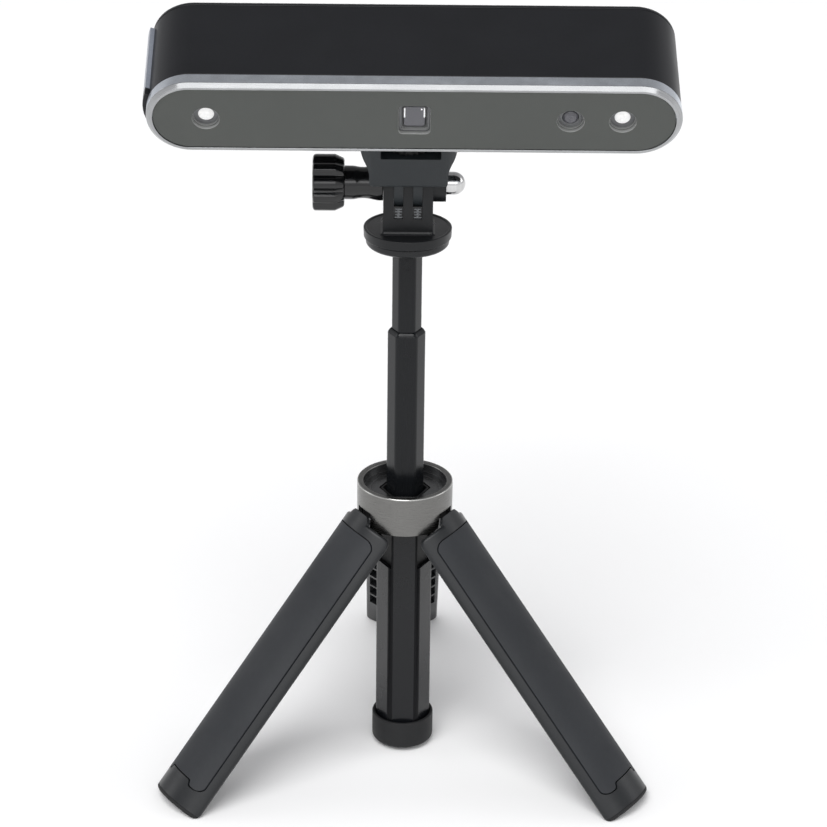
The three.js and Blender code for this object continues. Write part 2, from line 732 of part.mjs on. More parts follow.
function columnCap() {
  const bore = COLUMN_ACROSS + 0.2;
  return turned([
    [0, 0],
    [CAP_RADIUS - 1.5, 0],
    [CAP_RADIUS - 0.5, 0.4],
    [CAP_RADIUS, 1.4],
    [CAP_RADIUS, CAP_RIM - 0.3],
    [CAP_RADIUS - 0.3, CAP_RIM],
    [bore, CAP_RIM],
    [bore, CAP_FLOOR],
    [0, CAP_FLOOR],
  ]);
}

// ---- legs, drawn closed at azimuth 0 and measured from the hinge ----
// A slice of a thick tube about the column, between two radii.
function slice(inner, outer, [z0, z1], halfAngle = LEG_HALF_ANGLE) {
  const shape = new THREE.Shape();
  shape.absarc(0, 0, outer, -halfAngle, halfAngle, false);
  shape.absarc(0, 0, inner, halfAngle, -halfAngle, true);
  shape.closePath();
  return prism(shape, [z0, z1], { arcs: SLICE_ARCS });
}

function hingePin() {
  const { out, up } = LEG_HINGE;
  return rodY(PIN_RADIUS, [-6.8, 6.8], { x: out, z: up, sides: 14 });
}

// The pad's outline, seen from outside the leg: square shoulders at the top, and at the foot
// a shallow recess between two lobes.
function padOutline(grow) {
  const half = PAD_HALF + grow;
  const top = PAD_TOP + grow;
  const bottom = PAD_BOTTOM - grow;
  const recess = 1.8;
  const step = 5 - grow;
  const corner = 2.6 + grow;
  const shape = new THREE.Shape();
  shape.moveTo(-step, bottom + recess);
  shape.lineTo(step, bottom + recess);
  shape.lineTo(step + 1, bottom);
  shape.absarc(half - corner, bottom + corner, corner, -90 * RAD, 0, false);
  shape.absarc(half - corner, top - corner, corner, 0, 90 * RAD, false);
  shape.absarc(-half + corner, top - corner, corner, 90 * RAD, 180 * RAD, false);
  shape.absarc(-half + corner, bottom + corner, corner, 180 * RAD, 270 * RAD, false);
  shape.lineTo(-step - 1, bottom);
  shape.closePath();
  return prismX(shape, [5, 30], { arcs: 3 });
}

// The leg's outline seen from outside, with rounded corners.
function legOutline() {
  const width = 2 * LEG_RADIUS * Math.sin(LEG_HALF_ANGLE);
  const outline = roundedBox(width, LEG_SHOULDER - LEG_END, LEG_CORNER);
  return prismX(outline, [0, 30], { arcs: 3 }).translate(0, 0, (LEG_SHOULDER + LEG_END) / 2);
}

// The tab that swings in the hub's bay, in side view: it ends in a knuckle round the hinge pin,
// and its top slopes so that it comes up flat under the collar when the leg is open.
function legTab() {
  const { out, up } = LEG_HINGE;
  const shape = new THREE.Shape();
  shape.moveTo(out - KNUCKLE_RADIUS, LEG_SHOULDER - 3);
  shape.lineTo(LEG_RADIUS + 2, LEG_SHOULDER - 3);
  shape.lineTo(LEG_RADIUS + 2, up - 4.6);
  shape.lineTo(out + 2.1, up - 0.93);
  shape.absarc(out, up, KNUCKLE_RADIUS, -24 * RAD, 180 * RAD, false);
  shape.closePath();
  const width = [-TAB_HALF, TAB_HALF];
  const plate = prismY(shape, width, { arcs: 6 });
  return shaped(plate, { keep: [slice(LEG_RIB_IN - 4, LEG_RADIUS, [0, 120])] });
}

// The web that widens the tab where it leaves the leg's shoulder.
function tabRoot() {
  const wide = TAB_HALF + 1.5;
  const shape = new THREE.Shape();
  shape.moveTo(-wide, LEG_SHOULDER - 1);
  shape.lineTo(wide, LEG_SHOULDER - 1);
  shape.lineTo(wide, LEG_SHOULDER);
  shape.lineTo(TAB_HALF, LEG_SHOULDER + 1.6);
  shape.lineTo(-TAB_HALF, LEG_SHOULDER + 1.6);
  shape.lineTo(-wide, LEG_SHOULDER);
  shape.closePath();
  return shaped(prismX(shape, [5, 20]), { keep: [slice(HUB_RADIUS + 0.15, LEG_RADIUS, [60, 90])] });
}

function legShell() {
  const { out, up } = LEG_HINGE;
  const bottom = LEG_END + SOLE_THICKNESS + 0.1;
  const bedRadius = LEG_RADIUS - PAD_THICKNESS - 0.15;
  const padBed = shaped(padOutline(PAD_SEAM), { keep: [slice(bedRadius, LEG_RADIUS + 2, [-40, 90])] });
  const pockets = [];
  for (let pocket = 0; pocket < POCKETS; pocket += 1) {
    const floor = POCKET_START + pocket * POCKET_PITCH;
    const span = [floor, floor + POCKET_PITCH - RIB_THICKNESS];
    pockets.push(slice(LEG_RIB_IN - 1, LEG_WALL_IN, span, LEG_HALF_ANGLE + 2 * RAD));
  }
  const foot = slice(SOLE_IN, LEG_RIB_IN + 0.5, [bottom, POCKET_START - 1]);
  const step = slice(LEG_RIB_IN - 1, LEG_WALL_IN + 0.2, [LEG_SHOULDER - 0.7, LEG_SHOULDER + 0.5], 60 * RAD);
  const body = shaped(slice(LEG_RIB_IN, LEG_RADIUS, [bottom, LEG_SHOULDER]), {
    add: [foot],
    keep: [legOutline()],
    cut: [step, ...pockets],
  });
  return shaped(body, {
    add: [legTab(), tabRoot()],
    cut: [
      padBed,
      rodY(PIN_RADIUS + 0.12, [-10, 10], { x: out, z: up, sides: 12 }),
      floorBelowFoot(),
    ],
  });
}

function legPad() {
  const skin = slice(LEG_RADIUS - PAD_THICKNESS, LEG_RADIUS, [-40, 90]);
  return shaped(skin, { keep: [padOutline(0)] });
}

function legFoot() {
  return shaped(slice(SOLE_IN, LEG_RADIUS, [LEG_END, LEG_END + SOLE_THICKNESS]), {
    keep: [legOutline()],
    cut: [floorBelowFoot()],
  });
}

// Everything below the floor that the open leg stands on, in the closed leg's own frame.
function floorBelowFoot() {
  const { out, up } = LEG_HINGE;
  const ground = block([0, 200], [-40, 40], [-60, -FOOT_DROP]);
  return ground.translate(-out, 0, -up).rotateY(LEG_OPEN).translate(out, 0, up);
}

// ---- assembly ----
function place(parent, name, geometry, material, [x, y, z] = [0, 0, 0]) {
  const mesh = new THREE.Mesh(geometry, material);
  mesh.name = name;
  mesh.position.set(x, y, z);
  parent.add(mesh);
}

function addBase(parent) {
  place(parent, "column_cap", columnCap(), RUBBER);
  place(parent, "column_tube", columnTube(), LEG_PLASTIC);
  place(parent, "leg_hub", legHub(), GLOSS_BLACK);
  place(parent, "collar_ring", collarRing(), COLLAR_METAL);
  place(parent, "column_bush", columnBush(), SILVER);
}

function addLeg(parent, side) {
  const { out, up } = LEG_HINGE;
  const around = new THREE.Group();
  around.rotation.z = LEG_AZIMUTHS[side] * RAD;
  place(around, "leg_pin_" + side, hingePin(), STEEL);
  const hinge = new THREE.Group();
  hinge.position.set(out, 0, up);
  hinge.rotation.y = -LEG_OPEN;
  const fromHinge = [-out, 0, -up];
  place(hinge, "leg_shell_" + side, legShell(), LEG_PLASTIC, fromHinge);
  place(hinge, "leg_pad_" + side, legPad(), RUBBER, fromHinge);
  place(hinge, "leg_foot_" + side, legFoot(), RUBBER, fromHinge);
  around.add(hinge);
  parent.add(around);
}

function addPole(parent) {
  place(parent, "lower_pole", lowerPole(), POLE_METAL);
  place(parent, "lower_pole_bush", lowerPoleBush(), BARREL);
  place(parent, "upper_pole", upperPole(), POLE_METAL);
  place(parent, "upper_pole_plug", upperPolePlug(), BARREL);
  place(parent, "pole_head", poleHead(), POLE_METAL);
  place(parent, "head_stud", headStud(), STEEL);
}

function addTiltJoint(parent) {
  place(parent, "prong_base", prongBase(), BLACK_SHELL);
  place(parent, "clamp_knob", clampKnob(), GLOSS_BLACK);
  place(parent, "clamp_bolt", clampBolt(), STEEL);
  place(parent, "acorn_nut", acornNut(), CHROME);
}

function addMount(parent) {
  place(parent, "mount_body", mountBody(), MOUNT_PLASTIC);
  place(parent, "mount_pad", mountPad(), RUBBER);
  place(parent, "mount_wheel", mountWheel(), BARREL);
  place(parent, "mount_screw", mountScrew(), STEEL);
}

function addScanner(parent) {
  place(parent, "head_shell", headShell(), BLACK_SHELL);
  place(parent, "front_bezel", frontBezel(), SILVER);
  place(parent, "front_window", frontWindow(), GLASS);
  place(parent, "rear_cover", rearCover(), BLACK_SHELL);
  place(parent, "sensor_bar", sensorBar(), STEEL);
  place(parent, "ir_camera_left", cameraBody(3.85, 3.0), BARREL, [-CAMERA_X, 0, 0]);
  place(parent, "ir_camera_right", cameraBody(3.85, 3.0), BARREL, [CAMERA_X, 0, 0]);
  place(parent, "colour_camera", cameraBody(3.6, 2.7), BARREL, [COLOUR_CAMERA_X, 0, 0]);
  place(parent, "ir_lens_left", cameraLens(2.9), LENS, [-CAMERA_X, 0, 0]);
  place(parent, "ir_lens_right", cameraLens(2.9), LENS, [CAMERA_X, 0, 0]);
  place(parent, "colour_lens", cameraLens(2.6), LENS, [COLOUR_CAMERA_X, 0, 0]);
  place(parent, "projector_body", projectorBody(), BARREL);
  place(parent, "projector_lens", projectorLens(), LENS);
  place(parent, "main_board", mainBoard(), CIRCUIT);
  place(parent, "usb_socket", usbSocket(), STEEL, [USB_X, 0, 0]);
  place(parent, "scan_button", scanButton(), BARREL, [BUTTON_X, 0, 0]);
  place(parent, "status_light", statusLight(), GLASS, [LIGHT_X, 0, 0]);
  place(parent, "tripod_insert", tripodInsert(), BRASS, [-HEAD_OFFSET_X, 0, 0]);
  let number = 1;
  for (const x of [-SCREW_X, SCREW_X]) {
    for (const z of [-SCREW_Z, SCREW_Z]) {
      place(parent, "cover_screw_" + number, coverScrew(), STEEL, [x, 0, z]);
      number += 1;
    }
  }
}

const scannerOnTripod = new THREE.Group();
addBase(scannerOnTripod);
for (const side of Object.keys(LEG_AZIMUTHS)) {
  addLeg(scannerOnTripod, side);
}
addPole(scannerOnTripod);

const tiltJoint = new THREE.Group();
tiltJoint.position.z = TILT_AXIS_Z;
addTiltJoint(tiltJoint);
scannerOnTripod.add(tiltJoint);

const tilted = new THREE.Group();
tilted.position.z = TILT_AXIS_Z;
tilted.rotation.x = HEAD_PITCH;
addMount(tilted);
const scanner = new THREE.Group();
scanner.position.set(HEAD_OFFSET_X, 0, HEAD_SEAT + HEAD_HEIGHT / 2);
addScanner(scanner);
tilted.add(scanner);
scannerOnTripod.add(tilted);

export default scannerOnTripod;
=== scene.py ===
import math

import bmesh
import bpy
from mathutils import Matrix, Vector


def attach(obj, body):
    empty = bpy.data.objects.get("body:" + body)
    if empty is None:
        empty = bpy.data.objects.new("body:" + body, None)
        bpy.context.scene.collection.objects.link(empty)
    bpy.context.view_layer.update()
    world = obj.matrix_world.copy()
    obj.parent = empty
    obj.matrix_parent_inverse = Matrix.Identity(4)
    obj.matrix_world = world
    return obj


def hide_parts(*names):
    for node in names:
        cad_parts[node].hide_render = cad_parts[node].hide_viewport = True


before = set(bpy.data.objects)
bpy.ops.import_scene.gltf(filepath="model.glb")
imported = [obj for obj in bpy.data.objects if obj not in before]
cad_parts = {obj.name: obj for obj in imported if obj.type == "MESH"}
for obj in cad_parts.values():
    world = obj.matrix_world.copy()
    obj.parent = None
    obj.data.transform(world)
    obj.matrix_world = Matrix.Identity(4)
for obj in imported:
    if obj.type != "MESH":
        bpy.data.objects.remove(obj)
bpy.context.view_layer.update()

MM = 0.001
RAD = math.pi / 180
QUARTER = math.pi / 2
FAR = 20  # long enough for a cutter to pass through any piece
HEX_SLOPE = 1.1547  # how far a hexagon's corner moves in for each step of its flats

# ---- sizes in millimetres, the same as the CAD's ----
HEAD_WIDTH, HEAD_HEIGHT = 154.6, 25.6
HEAD_FRONT, HEAD_BACK = -19.0, 19.2
HEAD_OFFSET_X, HEAD_PITCH, HEAD_SEAT = 1.35, 21.5 * RAD, 28.4
BEZEL_CHAMFER, BEZEL_BACK, WINDOW_INSET, WINDOW_FACE = 1.1, -14.2, 1.9, -18.7
SHELL_WALL, SHELL_BACK = 1.8, 16.9
CAMERA_X, COLOUR_X, OPTICS_FRONT, OPTICS_BACK = 60, 45, -16.8, -9.3
BUTTON_X, LIGHT_X, USB_X, SCREW_X, SCREW_Z = 30, 20, -30, 60, 8.9
TILT_Z = 192.5
MOUNT_WIDTH, MOUNT_DEPTH, MOUNT_BOTTOM, MOUNT_TOP = 29.2, 21.8, 6.9, 27.6
MOUNT_WAIST, SHOULDER_LOW, SHOULDER_HIGH = 11.7, 14.3, 19.6
SLOT_WIDTH, SLOT_BOTTOM, SLOT_TOP, WHEEL_RADIUS = 17.9, 19.1, 25.0, 10.2
TONGUE_RADIUS, BOLT_HOLE, KNOB_BORE = 7.2, 2.6, 2.45
PRONG_WIDTH, PRONG_DEPTH, SLOT_OUTER, SLOT_INNER, BOSS_END = 15.0, 12.8, 4.3, 1.45, 11.4
KNOB_NECK_END, KNOB_END, KNOB_RADIUS = -19.2, -28.8, 8.7
FLANGE_RADIUS, FLANGE_TOP, FLANGE_BOTTOM = 13.45, 178.45, 175.5
DISC_RADIUS, DISC_BOTTOM = 12.7, 172.65
UPPER, UPPER_BORE, UPPER_BOTTOM, UPPER_TOP = 4.55, 3.9, 128, 172.5
LOWER, LOWER_BORE, LOWER_BOTTOM, LOWER_TOP = 5.85, 5.15, 58.5, 144.9
COLLAR_RADIUS, COLLAR_TOP, COLLAR_BOTTOM = 15.05, 93.1, 80.2
CUP_RADIUS, CUP_FLOOR, SKIRT_BORE = 13.0, 90.1, 13.9
NOTCH_TOP, NOTCH_HALF, NOTCH_FLARE = 86.1, 3.75, 2.1
HUB_RADIUS, HUB_TOP, HUB_BOTTOM, SPIGOT_BOTTOM, BAY_HALF = 13.6, 88.8, 80.3, 64.0, 3.6
COLUMN, COLUMN_BORE, COLUMN_TOP, RECESS_SILL, RECESS_HALF = 8.7, 7.75, 80.0, 65.0, 4.6
CAP_RADIUS, CAP_RIM, CAP_FLOOR, CAP_ROUNDING, FOOT_DROP = 9.84, 9.6, 1.8, 1.6, 1.0
LEG_AZIMUTHS = {"left": -150, "right": -30, "rear": 90}
LEG_OPEN, HINGE_OUT, HINGE_UP = 40.737 * RAD, 10.4, 85.1
LEG_RADIUS, WALL_IN, RIB_IN, LEG_HALF = 14.95, 13.0, 10.2, 59 * RAD
SHOULDER, LEG_END, SOLE, SOLE_IN, LEG_CORNER = 79.4, -27.0, 1.2, 9.0, 2.5
POCKET_START, POCKET_PITCH, POCKETS, RIB = -8, 8.4, 10, 1.4
PAD_TOP, PAD_BOTTOM, PAD_HALF, PAD_THICK, PAD_SEAM = 75.8, -19.3, 10.37, 1.2, 0.25
TAB_HALF, KNUCKLE, PIN = 3.3, 2.3, 1.1

# ---- sizes that only the looks have, drawn rounder than the CAD's ----
UPPER_LOOK, LOWER_LOOK, COLUMN_LOOK, MOUTH = UPPER + 0.22, LOWER + 0.24, COLUMN + 0.38, UPPER + 0.34
PANE_BACK = WINDOW_FACE + 1.1
BARREL_RIM = WINDOW_FACE + 1.15  # where the cameras and the projector begin, behind the pane
# The infra-red cameras' white discs rise this little; the discs are painted reflections of the lights.
GLINT_DISC_RISE, GLASS_RISE = 0.12, 0.9
FLOOR_HALF = 30.0  # metres

# ---- where each group of pieces stands, and the body it rides on ----
TILT_FRAME = Matrix.Translation((0, 0, TILT_Z * MM))
MOUNT_FRAME = TILT_FRAME @ Matrix.Rotation(HEAD_PITCH, 4, "X")
HEAD_FRAME = MOUNT_FRAME @ Matrix.Translation((HEAD_OFFSET_X * MM, 0, (HEAD_SEAT + HEAD_HEIGHT / 2) * MM))
UPRIGHT = Matrix.Identity(4)
ON_HEAD, ON_BUTTON = (HEAD_FRAME, "head"), (HEAD_FRAME, "button")
ON_MOUNT, ON_WHEEL = (MOUNT_FRAME, "head"), (MOUNT_FRAME, "thumbwheel")
ON_SWIVEL, ON_KNOB = (TILT_FRAME, "swivel"), (TILT_FRAME, "clamp_screw")
ON_UPPER, ON_LOWER, ON_BASE = (UPRIGHT, "upper_mast"), (UPRIGHT, "lower_mast"), (UPRIGHT, "base")


def leg_frame(side):
    hinge = Vector((HINGE_OUT * MM, 0, HINGE_UP * MM))
    around = Matrix.Rotation(LEG_AZIMUTHS[side] * RAD, 4, "Z")
    return around @ Matrix.Translation(hinge) @ Matrix.Rotation(-LEG_OPEN, 4, "Y") @ Matrix.Translation(-hinge)


# ---- outlines: lists of 2-D points, or functions that give one for an inset ----
def arc(cx, cy, radius, start, end, steps):
    turn = (end - start) / steps
    return [(cx + radius * math.cos(start + k * turn), cy + radius * math.sin(start + k * turn))
            for k in range(steps + 1)]


def shifted(points, u=0, v=0):
    """Points given from one named edge or corner of a profile."""
    return [(u + x, v + y) for x, y in points]


def quarter_turns(steps):
    return [QUARTER * k / steps for k in range(steps + 1)]


def circle(radius, sides, at=(0, 0)):
    turns = [2 * math.pi * k / sides for k in range(sides)]
    return [(at[0] + radius * math.cos(turn), at[1] + radius * math.sin(turn)) for turn in turns]


def stadium(inset, steps=28):
    radius, reach = HEAD_HEIGHT / 2 - inset, (HEAD_WIDTH - HEAD_HEIGHT) / 2
    return (arc(reach, 0, radius, -QUARTER, QUARTER, steps)
            + arc(-reach, 0, radius, QUARTER, 3 * QUARTER, steps))


def stadium_in(extra):
    return lambda inset: stadium(extra + inset)


def hexagon(across, rounding, steps=5):
    """A hexagon with a corner on X; across reaches to the corners as they were before rounding."""
    middle = across - rounding / math.cos(30 * RAD)
    points = []
    for corner in range(6):
        angle = corner * 60 * RAD
        points += arc(middle * math.cos(angle), middle * math.sin(angle), rounding,
                      angle - 30 * RAD, angle + 30 * RAD, steps)
    return points


def hexagonal(across, rounding, steps=5, ease=0.0):
    return lambda inset: hexagon(across - inset * HEX_SLOPE, rounding - inset * ease, steps)


def hexagons(rows):
    return [(hexagon(across, rounding), height) for across, rounding, height in rows]


def corner_arcs(left, right, low, high, radius, steps):
    """Four quarter turns about the corners of a box, anticlockwise from its lower right."""
    points = []
    for turn, (x, y) in enumerate(((right, low), (right, high), (left, high), (left, low)), -1):
        points += arc(x, y, radius, turn * QUARTER, (turn + 1) * QUARTER, steps)
    return points


def rounded(width, height, radius, steps=6):
    x, y = width / 2 - radius, height / 2 - radius
    return corner_arcs(-x, x, -y, y, radius, steps)


def oblong(width, height, corner, steps=6, ease=1.0):
    return lambda inset: rounded(width - 2 * inset, height - 2 * inset, corner - inset * ease, steps)


def sector(inner, outer, half, corner, steps=40):
    """A slice of a ring about the origin, opening along +X, with its two outer corners rounded."""
    if corner <= 0:
        return arc(0, 0, outer, -half, half, steps) + arc(0, 0, inner, half, -half, steps)
    middle = outer - corner
    angle = half - math.asin(corner / middle)
    x, y = middle * math.cos(angle), middle * math.sin(angle)
    return (arc(x, -y, corner, -half - QUARTER, -angle, 6) + arc(0, 0, outer, -angle, angle, steps)[1:-1]
            + arc(x, y, corner, angle, half + QUARTER, 6) + arc(0, 0, inner, half, -half, steps))


def filleted(points, radii, steps=4, closed=True):
    """A polygon with its corners rounded by the radii, one for each corner. An open one keeps its ends."""
    made = [] if closed else [points[0]]
    inner = points if closed else points[1:-1]
    for k, (corner, size) in enumerate(zip(inner, radii)):
        here = Vector(corner)
        before = Vector(points[k - 1 if closed else k]) - here
        after = Vector(points[(k + 1) % len(points) if closed else k + 2]) - here
        size = min(size, before.length * 0.49, after.length * 0.49)
        if size < 1e-4:
            made.append(tuple(here))
            continue
        first, last = here + before.normalized() * size, here + after.normalized() * size
        for t in (step / steps for step in range(steps + 1)):
            made.append(tuple((1 - t) ** 2 * first + 2 * t * (1 - t) * here + t * t * last))
    return made if closed else made + [points[-1]]


def waved(radius, depth, waves, steps, power, phase):
    """A circle with hollows in it; the first is centred on X with phase 1, and half a wave on with phase -1."""
    points = []
    for k in range(waves * steps):
        angle = 2 * math.pi * k / (waves * steps)
        out = radius - depth * (0.5 + phase * 0.5 * math.cos(angle * waves)) ** power
        points.append((out * math.cos(angle), out * math.sin(angle)))
    return points


# ---- solids: meshes in millimetres, closed and facing out ----
AXES = {"z": lambda u, v, w: (u, v, w), "y": lambda u, v, w: (u, w, v), "x": lambda u, v, w: (w, u, v)}


def loft(rings, axis="z", closed=False):
    """Skins a stack of (outline, height) rings. A closed stack comes back to its start, so it needs no caps."""
    bm = bmesh.new()
    place = AXES[axis]
    rows = [[bm.verts.new(place(u, v, height)) for u, v in outline] for outline, height in rings]
    count = len(rows[0])
    for low, high in list(zip(rows, rows[1:])) + ([(rows[-1], rows[0])] if closed else []):
        for k in range(count):
            after = (k + 1) % count
            bm.faces.new((low[k], low[after], high[after], high[k]))
    if not closed:
        bm.faces.new(rows[0])
        bm.faces.new(rows[-1])
    bmesh.ops.remove_doubles(bm, verts=bm.verts, dist=1e-4)
    bmesh.ops.recalc_face_normals(bm, faces=bm.faces)
    return bm


def drawn(outline, path):
    """Rings of one outline along a path of (inset, height). An outline that is a plain list ignores the inset."""
    return [(outline(inset) if callable(outline) else outline, height) for inset, height in path]


def edge_steps(low, high, soft_low, soft_high, steps=4):
    """(inset, height) pairs up a wall whose ends are rounded."""
    turns = quarter_turns(steps)
    return ([(soft_low * (1 - math.sin(turn)), low + soft_low * (1 - math.cos(turn)))
             for turn in (turns if soft_low else [0])]
            + [(soft_high * (1 - math.cos(turn)), high - soft_high * (1 - math.sin(turn)))
               for turn in (turns if soft_high else [0])])


def bar(outline, low, high, soft_low=0.0, soft_high=0.0, axis="z"):
    return loft(drawn(outline, edge_steps(low, high, soft_low, soft_high)), axis)


def tube(outer, inner, low, high, soft, axis="z"):
    path = edge_steps(low, high, soft, soft)
    down = [(-inset, height) for inset, height in reversed(path)]
    return loft(drawn(outer, path) + drawn(inner, down), axis, closed=True)


def lathe(profile, sides=96, axis="z"):
    """Turns a profile of (radius, height) about the axis. A profile that starts and ends at radius 0 is solid;
    any other is closed on itself."""
    bm = bmesh.new()
    place = AXES[axis]
    columns = []
    for radius, height in profile:
        if radius < 1e-6:
            columns.append([bm.verts.new(place(0, 0, height))] * sides)
        else:
            columns.append([bm.verts.new(place(u, v, height)) for u, v in circle(radius, sides)])
    pairs = list(zip(columns, columns[1:]))
    if profile[0][0] >= 1e-6 or profile[-1][0] >= 1e-6:
        pairs.append((columns[-1], columns[0]))
    for low, high in pairs:
        for k in range(sides):
            after = (k + 1) % sides
            corners = list(dict.fromkeys((low[k], low[after], high[after], high[k])))
            if len(corners) > 2:
                bm.faces.new(corners)
    bmesh.ops.recalc_face_normals(bm, faces=bm.faces)
    return bm


def soft_lathe(points, radii, sides=96, axis="z", steps=4):
    """A turned solid from a profile of corners, each rounded, whose first and last lie on the axis."""
    return lathe(filleted(points, radii, steps, closed=False), sides, axis)


def rod(radius, low, high, axis="z", sides=48, at=(0, 0), soft=0.0):
    return bar(lambda inset: circle(radius - inset, sides, at), low, high, soft, soft, axis)


def block(x, y, z, soft=0.0):
    if soft <= 0:
        return bar([(x[0], y[0]), (x[1], y[0]), (x[1], y[1]), (x[0], y[1])], *z)
    outline = oblong(x[1] - x[0], y[1] - y[0], soft, 4, 0.98)
    return bar(lambda inset: shifted(outline(inset), sum(x) / 2, sum(y) / 2), *z, soft, soft)


def spun(bm, angle, axis="Z"):
    bmesh.ops.rotate(bm, verts=bm.verts, cent=(0, 0, 0), matrix=Matrix.Rotation(angle, 3, axis))
    return bm


def moved(bm, offset):
    bmesh.ops.translate(bm, verts=bm.verts, vec=offset)
    return bm


def coloured(bm, choose):
    """Gives each face one of the piece's materials: choose(middle, normal) says which."""
    for face in bm.faces:
        face.material_index = int(choose(face.calc_center_median(), face.normal))
    return bm


def mesh_from(bm, name):
    mesh = bpy.data.meshes.new(name)
    bm.to_mesh(mesh)
    bm.free()
    return mesh


def in_scene(name, data):
    thing = bpy.data.objects.new(name, data)
    bpy.context.scene.collection.objects.link(thing)
    return thing


def discard(thing):
    mesh = thing.data
    bpy.data.objects.remove(thing)
    bpy.data.meshes.remove(mesh)


def joined(base, *others, how="UNION"):
    """The base solid with the others added to it, or cut from it, one after another."""
    target = in_scene("target", mesh_from(base, "target"))
    for other in others:
        tool = in_scene("tool", mesh_from(other, "tool"))
        modifier = target.modifiers.new("tool", "BOOLEAN")
        modifier.operation, modifier.solver, modifier.object = how, "EXACT", tool
        graph = bpy.context.evaluated_depsgraph_get()
        old, result = target.data, bpy.data.meshes.new_from_object(target.evaluated_get(graph))
        target.modifiers.clear()
        target.data = result
        bpy.data.meshes.remove(old)
        discard(tool)
    bm = bmesh.new()
    bm.from_mesh(target.data)
    discard(target)
    bmesh.ops.dissolve_degenerate(bm, edges=bm.edges, dist=1e-4)
    bmesh.ops.recalc_face_normals(bm, faces=bm.faces)
    return bm


def cut(base, *tools):
    return joined(base, *tools, how="DIFFERENCE")


def kept(base, *tools):
    return joined(base, *tools, how="INTERSECT")


def together(*solids):
    """Separate solids that lie side by side in one piece."""
    whole = bmesh.new()
    for solid in solids:
        mesh = mesh_from(solid, "part")
        whole.from_mesh(mesh)
        bpy.data.meshes.remove(mesh)
    return whole


# ---- materials ----
def linear(colour):
    return [c / 12.92 if c <= 0.04045 else ((c + 0.055) / 1.055) ** 2.4 for c in colour] + [1.0]


class Nodes:
    """A node tree, and a short way to add to it."""

    def __init__(self, tree):
        self.tree = tree

    def feed(self, socket, value):
        """Links a socket to an output, or sets it."""
        if isinstance(value, bpy.types.NodeSocket):
            self.tree.links.new(value, socket)
        else:
            socket.default_value = value

    def node(self, kind, inputs=None, **values):
        node = self.tree.nodes.new(kind)
        for key, value in values.items():
            setattr(node, key, value)
        for key, value in (inputs or {}).items():
            self.feed(node.inputs[key], value)
        return node


class Finish(Nodes):
    """A material put together from nodes. Textures run in the piece's own space, in metres."""

    def __init__(self, name, colour, roughness, metallic=0.0, ior=1.5, tilt=0.0, alpha=1.0):
        self.material = bpy.data.materials.new(name)
        self.material.use_nodes = True
        super().__init__(self.material.node_tree)
        self.shader = self.tree.nodes["Principled BSDF"]
        for key, value in {"Base Color": linear(colour), "Roughness": roughness, "Metallic": metallic,
                           "IOR": ior, "Alpha": alpha}.items():
            self.feed(self.shader.inputs[key], value)
        self.colour = linear(colour)
        self.place = self.node("ShaderNodeTexCoord").outputs["Object"]
        if tilt:
            level = self.node("ShaderNodeMapping", {"Rotation": (-tilt, 0, 0), "Vector": self.place})
            self.place = level.outputs[0]
        self.height = None

    def noise(self, scale, detail=3.0, stretch=(1, 1, 1)):
        mapping = self.node("ShaderNodeMapping", {"Scale": stretch, "Vector": self.place})
        return self.node("ShaderNodeTexNoise", {"Scale": scale, "Detail": detail, "Roughness": 0.5,
                                                "Vector": mapping.outputs[0]}).outputs["Fac"]

    def cells(self, scale):
        return self.node("ShaderNodeTexVoronoi", {"Scale": scale, "Vector": self.place},
                         feature="F1").outputs["Distance"]

    def ranged(self, value, low, high, from_low, from_high):
        return self.node("ShaderNodeMapRange", {"From Min": from_low, "From Max": from_high, "To Min": low,
                                                "To Max": high, "Value": value}).outputs["Result"]

    def shade(self, value, low, high, from_low=0.3, from_high=0.7):
        """Varies the colour between two strengths of itself."""
        strength = self.ranged(value, low, high, from_low, from_high)
        target = self.shader.inputs["Base Color"]
        before = target.links[0].from_socket if target.is_linked else self.colour
        grey = self.node("ShaderNodeCombineColor", {0: strength, 1: strength, 2: strength})
        mix = self.node("ShaderNodeMix", {"Factor": 1.0, "A": before, "B": grey.outputs[0]},
                        data_type="RGBA", blend_type="MULTIPLY")
        self.feed(target, mix.outputs["Result"])

    def worn(self, value, low, high):
        """Varies the roughness, as handling and moulding do."""
        self.feed(self.shader.inputs["Roughness"], self.ranged(value, low, high, 0.3, 0.7))

    def raise_by(self, value, depth):
        """Adds to the bump, with depth in metres."""
        scaled = self.node("ShaderNodeMath", {0: value, 1: depth}, operation="MULTIPLY").outputs[0]
        if self.height is not None:
            scaled = self.node("ShaderNodeMath", {0: self.height, 1: scaled}, operation="ADD").outputs[0]
        self.height = scaled

    def done(self):
        if self.height is not None:
            bump = self.node("ShaderNodeBump", {"Strength": 1.0, "Distance": 1.0, "Height": self.height})
            self.feed(self.shader.inputs["Normal"], bump.outputs[0])
        return self.material


def moulded(name, colour, roughness, grain=2600, depth=0.00001, ior=1.5, spread=0.06):
    """Moulded plastic: a fine spark-eroded grain, faint cloudiness, and smoother patches where it's handled."""
    finish = Finish(name, colour, roughness, ior=ior)
    finish.shade(finish.noise(45, 4), 0.9, 1.1)
    finish.shade(finish.noise(1500, 2), 0.93, 1.07)
    finish.worn(finish.noise(90, 5), roughness - spread, roughness + spread)
    finish.raise_by(finish.noise(grain, 2), depth)
    return finish.done()


def turned_metal(name, colour, roughness, lines=9000, axis="Z", depth=3e-6, metallic=1.0):
    """Metal turned on a lathe: fine rings round its axis. Y is the scanner head's own depth."""
    finish = Finish(name, colour, roughness, metallic, tilt=HEAD_PITCH if axis == "Y" else 0.0)
    rings = finish.noise(lines, 3, [1.0 if way == axis else 0.03 for way in "XYZ"])
    finish.shade(rings, 0.86, 1.12)
    finish.shade(finish.noise(70, 3), 0.95, 1.05)
    finish.worn(rings, roughness - 0.07, roughness + 0.09)
    finish.raise_by(rings, depth)
    return finish.done()


